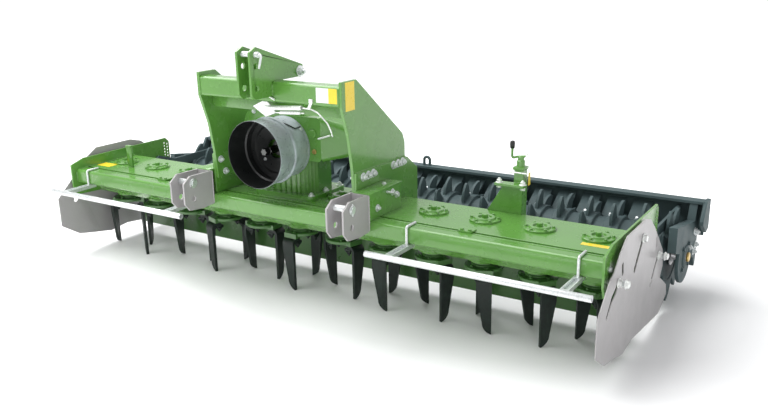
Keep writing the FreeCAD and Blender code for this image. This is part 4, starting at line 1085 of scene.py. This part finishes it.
def toothed_ring(bm, x, turn):
    hole = [(0.124 * math.sin(2 * math.pi * k / 48), 0.124 * math.cos(2 * math.pi * k / 48))
            for k in range(48)]
    edges = []
    for ring in (tooth_outline(turn), hole):
        row = [bm.verts.new((x - RING_T / 2, ROLLER.y + y, ROLLER.z + z)) for y, z in ring]
        edges += [bm.edges.new((a, b)) for a, b in zip(row, row[1:] + row[:1])]
    made = bmesh.ops.triangle_fill(bm, use_beauty=True, use_dissolve=False, edges=edges)
    faces = [g for g in made["geom"] if isinstance(g, bmesh.types.BMFace)]
    out = bmesh.ops.extrude_face_region(bm, geom=faces)
    moved = [g for g in out["geom"] if isinstance(g, bmesh.types.BMVert)]
    bmesh.ops.translate(bm, vec=(RING_T, 0, 0), verts=moved)


def packer_roller():
    ring_x = [(k + 0.5) * RING_PITCH for k in range(-RING_PAIRS, RING_PAIRS)]
    bm = bmesh.new()
    for k, x in enumerate(ring_x):
        toothed_ring(bm, x, RING_TURNS[k % 2])
    piece("packer_rings", bm, "frame_paint", 0.0014, ["packer_roller"], body="roller")
    bm = bmesh.new()
    long = 2 * ROLLER_HALF
    lathe(bm, (-ROLLER_HALF, ROLLER.y, ROLLER.z), X,
          [(0.040, 0.004), (0.118, 0.004), (0.122, 0.0), (DRUM_R, 0.0), (DRUM_R, long),
           (0.122, long), (0.118, long - 0.004), (0.040, long - 0.004)], 72)
    rim = RIM_R - 0.001
    for x in ring_x:
        for s in (-1, 1):
            face = x + s * RING_T / 2
            if abs(face) > ROLLER_HALF - 0.001:
                continue
            # collar welded on each side of the ring
            lathe(bm, (face, ROLLER.y, ROLLER.z), X * s,
                  [(DRUM_R, 0), (rim, 0), (rim, 0.026), (rim - 0.003, 0.030), (DRUM_R, 0.030)], 60)
            ring_bead(bm, (face + s * 0.030, ROLLER.y, ROLLER.z), X, DRUM_R + 0.002, 0.003, 0.012)
    piece("packer_drum", bm, "frame_paint", body="roller")


FLANGE_TOP = 0.442              # upper face of the folded rear beam


def roller_frame_details():
    beam_end, arm_out = high("roller_beam").x, high("roller_arm_right").x
    bm = bmesh.new()
    scr_lo, scr_hi = span("scrapers")
    slope = Vector((0, scr_hi.y - scr_lo.y, scr_hi.z - 0.012 - scr_lo.z)).normalized()
    face = Vector((0, -slope.z, slope.y))
    for k in range(2 - RING_PAIRS, RING_PAIRS):
        base = Vector((k * RING_PITCH, scr_lo.y, scr_lo.z)) + slope * 0.030
        hexbolt(bm, base + face * 0.0002, face, 0.0075, 0.007)
    for sx in (-1, 1):
        for y, z in ((0.755, 0.250), (0.862, 0.196), (0.896, 0.222), (0.893, 0.286),
                     (0.856, 0.300)):
            hexbolt(bm, (sx * arm_out, Y0 + y, z), X * sx, 0.0125, 0.010, tail=0.006, turn=y * 7)
        rivet = (sx * (beam_end - 0.0075), Y0 + 0.905, 0.330)
        hexbolt(bm, rivet, X * sx, 0.003, 0.003, washer=0)
    piece("roller_frame_bolts", bm, "zinc", body="roller_frame")

    bm = bmesh.new()
    caps = bmesh.new()
    for sx in (-1, 1):
        at = Vector((sx * arm_out, ROLLER.y, ROLLER.z))
        lathe(bm, at, X * sx, [(0.024, 0.006), (0.036, 0.006), (0.040, 0.010), (0.052, 0.006),
                               (0.056, 0), (0.024, 0)], 40)
        bolt_circle(bm, at, X * sx, 0.070, range(45, 360, 90), 0.009, 0.007, Y, Z)
        lathe(caps, at + X * sx * 0.0085, X * sx,
              [(0, 0), (0.021, 0), (0.023, 0.003), (0.023, 0.008), (0.018, 0.012), (0, 0.012)], 32)
    piece("roller_bearing_caps", bm, "frame_paint", 0.001, body="roller_frame")
    piece("roller_grease_caps", caps, "brass", body="roller")

    bm = bmesh.new()
    y = Y0 + 0.923
    for sx in (-1, 1):
        x = sx * (beam_end - 0.018)
        bead(bm, (x, Y0 + 0.872, FLANGE_TOP - 0.013), (x, Y0 + 0.872, FLANGE_TOP - 0.002))
        bead(bm, (x, Y0 + 0.875, FLANGE_TOP), (x, Y0 + 0.929, FLANGE_TOP))
        bead(bm, (x, y, 0.310), (x, y, 0.430))
        for ax in (low("roller_arm_right").x + 0.047, arm_out):
            bead(bm, (sx * ax, y, 0.270), (sx * ax, y, 0.430))
    for x in (0.060, 0.096):
        ring_bead(bm, (x, Y0 + 0.902, FLANGE_TOP + 0.0005), Z, 0.0095, 0.0025, 0.006)
    piece("roller_frame_welds", bm, "frame_paint", body="roller_frame")


# -------------------------------- hitch
def hitch_details():
    bm = bmesh.new()
    welds = bmesh.new()
    for sx, side in ((1, "right"), (-1, "left")):
        lo, hi = span("lower_clevis_" + side)
        for dz in (0.045, 0.125):
            for x in (lo.x + 0.026, hi.x - 0.026):
                hexbolt(bm, (x, hi.y - 0.009, lo.z + dz), -Y, 0.010, 0.008)
        # linch pin through the end of the link pin
        x = hi.x + 0.006 if sx > 0 else lo.x - 0.006
        bar(bm, loop((x, Y0 - 0.390, 0.570), X, 0.019, 24), 0.0022, 8, caps=False)
        for x in (lo.x, hi.x):
            bead(welds, (x, hi.y, lo.z + 0.010), (x, hi.y, hi.z - 0.006))
    lo, hi = span("top_link_clevis")
    for sx, x in ((-1, lo.x), (1, hi.x)):
        spot = (x, Y0 - 0.109, high("headstock_tube").z + 0.024)
        hexbolt(bm, spot, X * sx, 0.018, 0.015, tail=0.012)
    piece("hitch_bolts", bm, "zinc")
    piece("clevis_welds", welds, "grey_paint")


# -------------------------------- assembly
make_camera()
dress_cad()
bearing_caps()
lid_details()
end_plate_details()
for side in ("right", "left"):
    side_shield(side)
stud_stacks()
headstock_welds()
headstock_bolts()
hitch_boxes()
plates()
shaft_rest()
gearbox_details()
guard()
drive_stub()
level_details()
rotor_details()
packer_roller()
roller_frame_details()
hitch_details()
make_studio()
